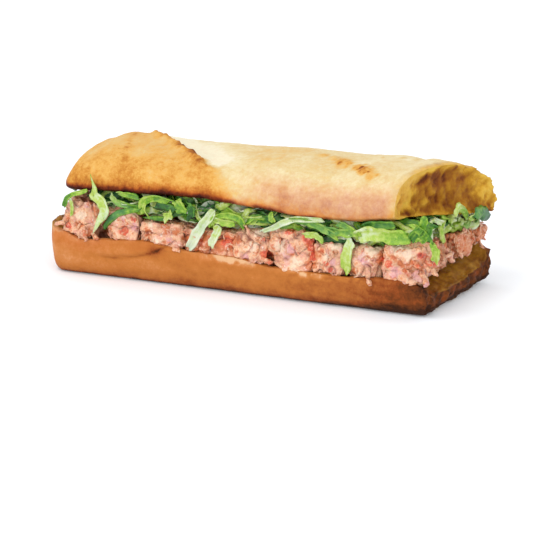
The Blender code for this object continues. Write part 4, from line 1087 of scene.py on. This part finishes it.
# Leaves that show one by one in the photo: side, width, tone at the first and at the last point (0 is the white
# rib and 1 the darkest green), cup across the width, twist in turns, and (along, height) points.
# Those named after a node take its place.
heroLeaves = {
    "lettuce_tip": ("front", 2.6, 0.4, 0.66, 0.6, 0.1,
        [(-82.1, 45.2), (-89.5, 42.7), (-93.6, 39.7), (-95.4, 35.3)]),
    "lettuce_pale_left": ("front", 5.8, 0.3, 0.2, 0.3, -0.12,
        [(-79.4, 48.4), (-78.2, 43.8), (-73.6, 39.6), (-73.2, 34.4), (-76, 27.5)]),
    "lettuce_dark_left": ("front", 3.4, 0.6, 0.78, -0.6, 0.1,
        [(-52.7, 38.9), (-62.2, 36.2), (-68.6, 32.6), (-73, 26.7)]),
    "lettuce_white_rib": ("front", 5.4, 0.16, 0.02, 0.8, 0.05,
        [(-12.2, 42.7), (-16.5, 37), (-21.2, 29.8), (-26.4, 21.7)]),
    "lettuce_stub": ("front", 4.6, 0.26, 0.08, 0.5, -0.06, [(-9.5, 35.3), (-11.5, 30.2), (-14.2, 23.8)]),
    "lettuce_long": ("front", 3.4, 0.2, 0.12, 0.5, 0.16,
        [(47.1, 44.8), (36.3, 43.9), (28.6, 42.3), (21.6, 38.9), (13.9, 35)]),
    "lettuce_broad": ("front", 8.2, 0.22, 0.5, 0.5, 0.04, [(65, 39), (73.9, 40.6), (82.3, 40.9), (93, 41)]),
    "lettuce_yellow_stub": ("front", 6, 0.16, 0.36, 0.3, 0.04, [(62.1, 37), (60.2, 29.8), (58.6, 19.7)]),
    "lettuce_curly_right": ("end", 5.5, 0.34, 0.3, -0.7, 0.22, [(-11.2, 45.6), (-15.5, 40.8), (-12.5, 33.1)]),
    "lettuce_pale_curl": ("end", 5, 0.3, 0.42, -0.8, 0.2,
        [(0.8, 43.2), (5, 46.1), (13.7, 43.1), (17.3, 38.1)]),
    "lettuce_dark_curl": ("end", 8, 0.62, 0.86, -0.6, 0.05, [(28, 34.5), (36, 36), (45, 32.5)]),
    "curlBeside": ("end", 4, 0.34, 0.4, 0.6, 0.1, [(19.1, 37.3), (27.9, 36.7), (34.9, 36.2)]),
    "yellowStrip": ("front", 1.9, 0.26, 0.34, 0.5, 0.06, [(-91.4, 39.9), (-90.7, 35.9), (-91, 31)]),
    "archLeaf": ("front", 4.2, 0.38, 0.5, 0.9, -0.12,
        [(-49.5, 36.2), (-51.7, 39.6), (-49.5, 44), (-43.2, 45.6), (-35.3, 45)]),
    "archShade": ("front", 5, 0.9, 0.74, -0.6, 0.1, [(-44.8, 41.2), (-39.3, 41.8), (-33, 40.7)]),
    "blueLeaf": ("front", 6.2, 0.4, 0.56, 0.4, 0.06, [(-33.3, 45.6), (-31, 43.2), (-29.4, 39.4)]),
    "tealLeaf": ("front", 4.4, 0.7, 0.84, 0.5, 0.1, [(-26.7, 44.4), (-24.7, 41.7), (-25.1, 36.8)]),
    "tabLeaf": ("front", 5.2, 0.34, 0.22, 0.3, 0, [(-37.3, 39.1), (-37.7, 34.9)]),
    "innerLeaf": ("front", 3.4, 0.28, 0.7, 0.8, 0.15,
        [(-68.9, 45.1), (-66.1, 41.7), (-59, 39.5), (-52.7, 39.5)]),
    "innerTop": ("front", 3, 0.44, 0.62, 0.6, 0.12, [(-65.3, 45.8), (-59, 45.6), (-53.4, 44.4)]),
    "brightLeaf": ("front", 3.6, 0.42, 0.52, 0.7, 0.12,
        [(-13.8, 34.4), (-11, 39.5), (-4.4, 41.4), (1.4, 39.9), (4.2, 36.1)]),
    "brightBelow": ("front", 3.8, 0.3, 0.44, 0.6, 0.05, [(-12.6, 38.2), (-7.1, 37.4), (-0.9, 37)]),
    "spikeLeaf": ("front", 3, 0.5, 0.34, 0.7, 0.1, [(19.5, 45.7), (18.9, 43), (20.1, 40.6)]),
    "longBeside": ("front", 3.8, 0.62, 0.44, 0.6, 0.1,
        [(29.4, 42.8), (39.4, 42.8), (48.6, 39.5), (54.8, 36.5)]),
    "lowLeaf": ("front", 3.6, 0.3, 0.4, 0.4, 0.1, [(36.3, 36.1), (42.5, 36.4), (47.1, 34)]),
    "midLeaf": ("front", 4.4, 0.6, 0.46, 0.6, 0.1, [(48.6, 40.2), (56.3, 39.7), (64, 39.8)]),
    "midTop": ("front", 3.6, 0.62, 0.4, 0.5, 0.1, [(54.8, 43.9), (60.9, 42.4), (66.3, 38.6)]),
    "broadTop": ("front", 4.2, 0.8, 0.62, 0.5, 0.06, [(68.6, 44), (76.2, 46), (85.3, 46.4)]),
    "fanLeft": ("front", 5, 0.7, 0.52, 0.6, 0.14, [(93.8, 40), (97.5, 44.5), (100.5, 49), (102, 52.4)]),
    "fanMiddle": ("front", 4.6, 0.52, 0.7, 0.6, 0.12, [(98.3, 39.5), (102.1, 42.9), (104.3, 47.5)]),
    "fanRight": ("front", 4.6, 0.44, 0.64, 0.7, 0.16, [(95.2, 48), (99, 45.5), (103.6, 40.1)]),
    "cornerLeaf": ("front", 4.6, 0.44, 0.32, 0.8, 0.2, [(105.9, 39.6), (107.4, 35.4), (106.7, 30.2)]),
}
lyingOut = {  # leaves that lie at least this far out
    "lettuce_tip": 36, "lettuce_pale_left": 37.2, "lettuce_pale_curl": 102, "lettuce_dark_curl": 106,
    "curlBeside": 105, "yellowStrip": 36, "spikeLeaf": 37.2,
}
pointedLeaves = ("lettuce_pale_left", "spikeLeaf")


def bedTree(objects):  # one search tree over the pieces that leaves lie on
    points, faces, count = [], [], 0
    for piece in objects:
        found, _ = meshArrays(piece.data)
        points.extend(Vector(p) for p in found)
        faces.extend([i + count for i in face.vertices] for face in piece.data.polygons)
        count = len(points)
    return BVHTree.FromPolygons(points, faces)


meatTree = bedTree(chunks)


def leafSheet(line, faceOut, width, draw, ruffle=0.5, cup=0.3, twist=0.0, point=0.0):
    # A cut strip of leaf as a wavy grid: blunt ends, a curl across it and a slow twist along it
    rows, columns = len(line), lettuce["columns"]
    tangent = np.gradient(line, axis=0)
    tangent /= np.linalg.norm(tangent, axis=1, keepdims=True) + 1e-9
    side = np.cross(tangent, faceOut)
    side /= np.linalg.norm(side, axis=1, keepdims=True) + 1e-9
    out = np.cross(side, tangent)
    s = np.linspace(0, 1, rows)[:, None]
    angle = 2 * np.pi * twist * (s - 0.5)
    side, out = side * np.cos(angle) + out * np.sin(angle), out * np.cos(angle) - side * np.sin(angle)
    a = np.linspace(-1, 1, columns + 1)[None, :]
    turns = draw.uniform(2.0, 4.5)
    phase = draw.uniform(0, 6.28, 3)
    angles = 2 * np.pi * turns * s
    wave = np.where(a > 0, np.sin(angles + phase[0]), np.sin(1.3 * angles + phase[1]))
    ragged = 0.90 + 0.13 * np.sin(8 * s + phase[0] + a) + 0.08 * np.sin(21 * s + phase[1] + 2 * a)
    spread = width / 2 * ragged * (0.50 + 0.50 * np.minimum(1, 5 * np.minimum(s, 1 - s)) ** 0.5)
    spread = spread * (1 - 0.85 * point * (1 - ease(s / 0.22)))
    curl = cup * (np.cos(a * 1.5) - 0.6) * width / 2
    lift = ruffle * wave * np.abs(a) ** 1.8 - curl + 0.12 * np.cos(a * 9.0)
    slant = draw.normal(0, 0.6) * width / 2 * a  # the knife's cut is seldom square
    shifted = line[:, None] + tangent[:, None] * (slant * np.abs(2 * s - 1) ** 4)[:, :, None]
    grid = shifted + side[:, None] * (spread * a)[:, :, None] + out[:, None] * lift[:, :, None]
    du, dv = np.gradient(grid, axis=0), np.gradient(grid, axis=1)
    normal = np.cross(dv, du)
    normal /= np.linalg.norm(normal, axis=2, keepdims=True) + 1e-9
    return grid, normal, np.broadcast_to(a, grid.shape[:2])


def sheetBody(grid, normal, thickness):  # front and back faces and the rim between them
    rows, cols = grid.shape[:2]
    points = np.concatenate([(grid + normal * thickness / 2).reshape(-1, 3),
                             (grid - normal * thickness / 2).reshape(-1, 3)])
    index = np.arange(rows * cols).reshape(rows, cols)
    quad = np.stack([index[:-1, :-1], index[:-1, 1:], index[1:, 1:], index[1:, :-1]], -1).reshape(-1, 4)
    ring = np.concatenate([index[0, :-1], index[:-1, -1], index[-1, :0:-1], index[:0:-1, 0]])
    after = np.roll(ring, -1)
    size = rows * cols
    rim = np.stack([ring, ring + size, after + size, after], -1)
    return points, np.concatenate([quad[:, ::-1], quad + size, rim[:, ::-1]])


def keepClear(grid, front=True):  # points stay under the lid and over the meat
    flat = grid.reshape(-1, 3) - standShift
    x, y, z = flat.T
    lidInside = np.abs(y) < upperHalf["halfWidth"] - 1
    ceiling = edgeHeight(x, y) - upperHalf["edgeDrop"] + 0.4
    z[:] = np.where(lidInside & (x < 104), np.minimum(z, ceiling - 0.5), z)
    low = layerTop(x, y) - 0.6 + 1.4 * latticeNoise(flat, 5, 33)
    z[:] = np.where(front & (z < low), low + 0.3 * (z - low), z)
    return (flat + standShift).reshape(grid.shape)


class LeafPile:  # leaves gathered into one mesh

    def __init__(self):
        self.points, self.faces, self.tone, self.vein, self.count = [], [], [], [], 0

    def add(self, grid, normal, a, tones):
        points, faces = sheetBody(grid, normal, lettuce["thickness"])
        self.points.append(points)
        self.faces.append(faces + self.count)
        self.count += len(points)
        along = np.broadcast_to(np.linspace(0, 1, grid.shape[0])[:, None], grid.shape[:2])
        tone = blendTo(tones[0], tones[1], ease(along)).ravel()
        lines = np.exp(-((np.sin(a * 5.2 + 0.6 * along) / 0.22) ** 2)) * 0.17  # veins run along the strip
        edge = 0.05 * np.abs(a) ** 4
        vein = (lines + edge).ravel()
        self.vein.append(np.concatenate([vein, vein]))
        self.tone.append(np.concatenate([tone, tone]))

    def make(self, name, nodes):
        marks = {"tone": np.concatenate(self.tone), "vein": np.concatenate(self.vein)}
        points, faces = np.concatenate(self.points), np.concatenate(self.faces)
        return makePiece(name, points, faces, leafGreen, nodes, marks)


def wanderLine(start, heading, outward, length, draw):  # a shred's middle line: out of the pile and back in
    t = np.linspace(0, 1, lettuce["rows"])[:, None]
    bow = draw.uniform(2.0, 5.5) * np.sin(np.pi * t) ** 0.8
    line = start + heading * length * (t - 0.5) + outward * bow
    wobble = np.stack([latticeNoise(line + draw.uniform(0, 900), 7, k) for k in range(3)], 1)
    return line + wobble * 1.9


def leafTones(draw):
    base = draw.choice([0.10, 0.26, 0.38, 0.50, 0.66, 0.84], p=[0.16, 0.22, 0.20, 0.12, 0.12, 0.18])
    return np.clip([base + draw.normal(0, 0.10), base + draw.normal(0, 0.10)], 0, 1)


def fillSide(pile, draw, count, start, end, outward, front):
    start, end, outward = np.array(start, float), np.array(end, float), np.array(outward, float)
    alongSide = (end - start) / np.linalg.norm(end - start)
    for k in range(count):
        spot = blendTo(start, end, (k + draw.uniform(0, 1)) / count)
        low, high = layerTop(spot[0], spot[1]), edgeHeight(spot[0], spot[1]) - upperHalf["edgeDrop"]
        place = spot + outward * draw.uniform(-5, 3.0)
        place[2] = draw.uniform(low + 0.5, high - 1.0)
        tilt = draw.normal(0, 0.5)
        heading = alongSide * math.cos(tilt) + np.array([0, 0, math.sin(tilt)])
        heading *= draw.choice([-1, 1])
        line = wanderLine(place + standShift, heading, outward, draw.uniform(*lettuce["length"]), draw)
        roll = draw.normal(0, 0.7)
        faceOut = outward * math.cos(roll) + np.array([0, 0, 1.0]) * math.sin(roll)
        grid, normal, a = leafSheet(line, faceOut, draw.uniform(*lettuce["width"]), draw,
                                    draw.uniform(*lettuce["ruffle"]), draw.normal(0, 0.7), draw.normal(0, 0.15))
        pile.add(keepClear(grid, front), normal, a, leafTones(draw))


def makeLettuce():
    draw = np.random.default_rng(lettuce["seed"])
    front, around = LeafPile(), LeafPile()
    fillSide(front, draw, lettuce["frontCount"], (-76, -27, 0), (89, -27, 0), (0, -1, 0), True)
    fillSide(around, draw, lettuce["backCount"], (-90, 28, 0), (95, 28, 0), (0, 1, 0), False)
    fillSide(around, draw, lettuce["rightCount"], (88, -26, 0), (97, 28, 0), (0.99, -0.16, 0), False)
    fillSide(around, draw, lettuce["leftCount"], (-80, -22, 0), (-80, 26, 0), (-1, 0, 0), False)
    front.make("shredsFront", ())
    around.make("shredsAround", ())
    core, normals, faces = denseCopy("lettuce", lettuce["coreVoxel"], 3)
    core += normals * (0.8 * roughNoise(core, 5, 3, 900) - 0.7)[:, None]
    core[:, 0] += 4 * ease((-85 - core[:, 0]) / 5)  # the pile's far left is hidden under the upper half
    # The core's dark green tone paints the shade deep inside the pile
    makePiece("shredsCoreShade", core, faces, leafGreen, ["lettuce"],
              {"tone": 0.82 + 0.2 * latticeNoise(core, 7, 905), "vein": np.zeros(len(core))})


def heroLine(points, rows):  # a smooth line through the leaf's (along, height) points
    ends = np.array([points[0], *points, points[-1]], float)
    line = []
    for i in range(rows):
        at = (len(points) - 1) * i / (rows - 1)
        k = min(int(at), len(points) - 2)
        t = at - k
        before, a, b, after = ends[k : k + 4]
        line.append(0.5 * (2 * a + (b - before) * t + (2 * before - 5 * a + 4 * b - after) * t**2
                           + (3 * a - before - 3 * b + after) * t**3))
    return np.array(line)


def heroBed(along, height, outward, deepest):  # how far out the meat reaches behind a leaf's place
    sideways = np.cross([0, 0, 1.0], outward)
    eye = sideways * along + outward * 150 + np.array([0, 0, height])
    distance = meatTree.ray_cast(Vector(eye), Vector(-outward))[3]
    return max(deepest, 150 - distance) if distance else deepest


sides = {  # outward way, how far out leaves lie without meat behind, and the plane their places were read on
    "front": (np.array([0, -1.0, 0]), 35.5, 36.5),
    "end": (np.array([1.0, 0, 0]), 94.0, 100.0),
}


def makeHeroes():
    draw = np.random.default_rng(3)
    turn, rise = math.radians(view["around"]), math.radians(view["up"])
    sight = np.array([-math.sin(turn) * math.cos(rise), math.cos(turn) * math.cos(rise), -math.sin(rise)])
    for node, (side, width, topTone, lowTone, cup, twist, places) in heroLeaves.items():
        outward, deepest, plane = sides[side]
        deepest = lyingOut.get(node, deepest)
        sideways = np.cross([0, 0, 1.0], outward)
        flat = heroLine(places, lettuce["rows"] + 6) + [sideways @ standShift, 0]
        slide = sight / -(sight @ outward)  # the step along the sight line that goes one millimetre deeper
        guess = flat + (plane - deepest) * np.array([slide @ sideways, slide[2]])
        steps = np.linspace(-0.5, 0.5, 3) * width
        reach = np.array([max(heroBed(p[0] + dx, p[1] + dz, outward, deepest) for dx in steps for dz in steps)
                          for p in guess])
        reach = np.array([reach[max(0, i - 2) : i + 3].max() for i in range(len(reach))])
        for _ in range(6):
            reach[1:-1] = np.maximum(reach[1:-1], (reach[:-2] + reach[2:]) / 2)
        reach = reach[:, None] + 0.8
        flat = flat + (plane - reach) * np.array([[slide @ sideways, slide[2]]])
        line = sideways * flat[:, :1] + outward * reach + np.array([0, 0, 1.0]) * flat[:, 1:]
        grid, normal, a = leafSheet(line, outward, width, draw, 0.3, cup, twist, float(node in pointedLeaves))
        pile = LeafPile()
        pile.add(grid, normal, a, (topTone, lowTone))
        pile.make(f"leaf_{node}", [node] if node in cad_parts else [])


makeLettuce()
makeHeroes()
print("lettuce made")
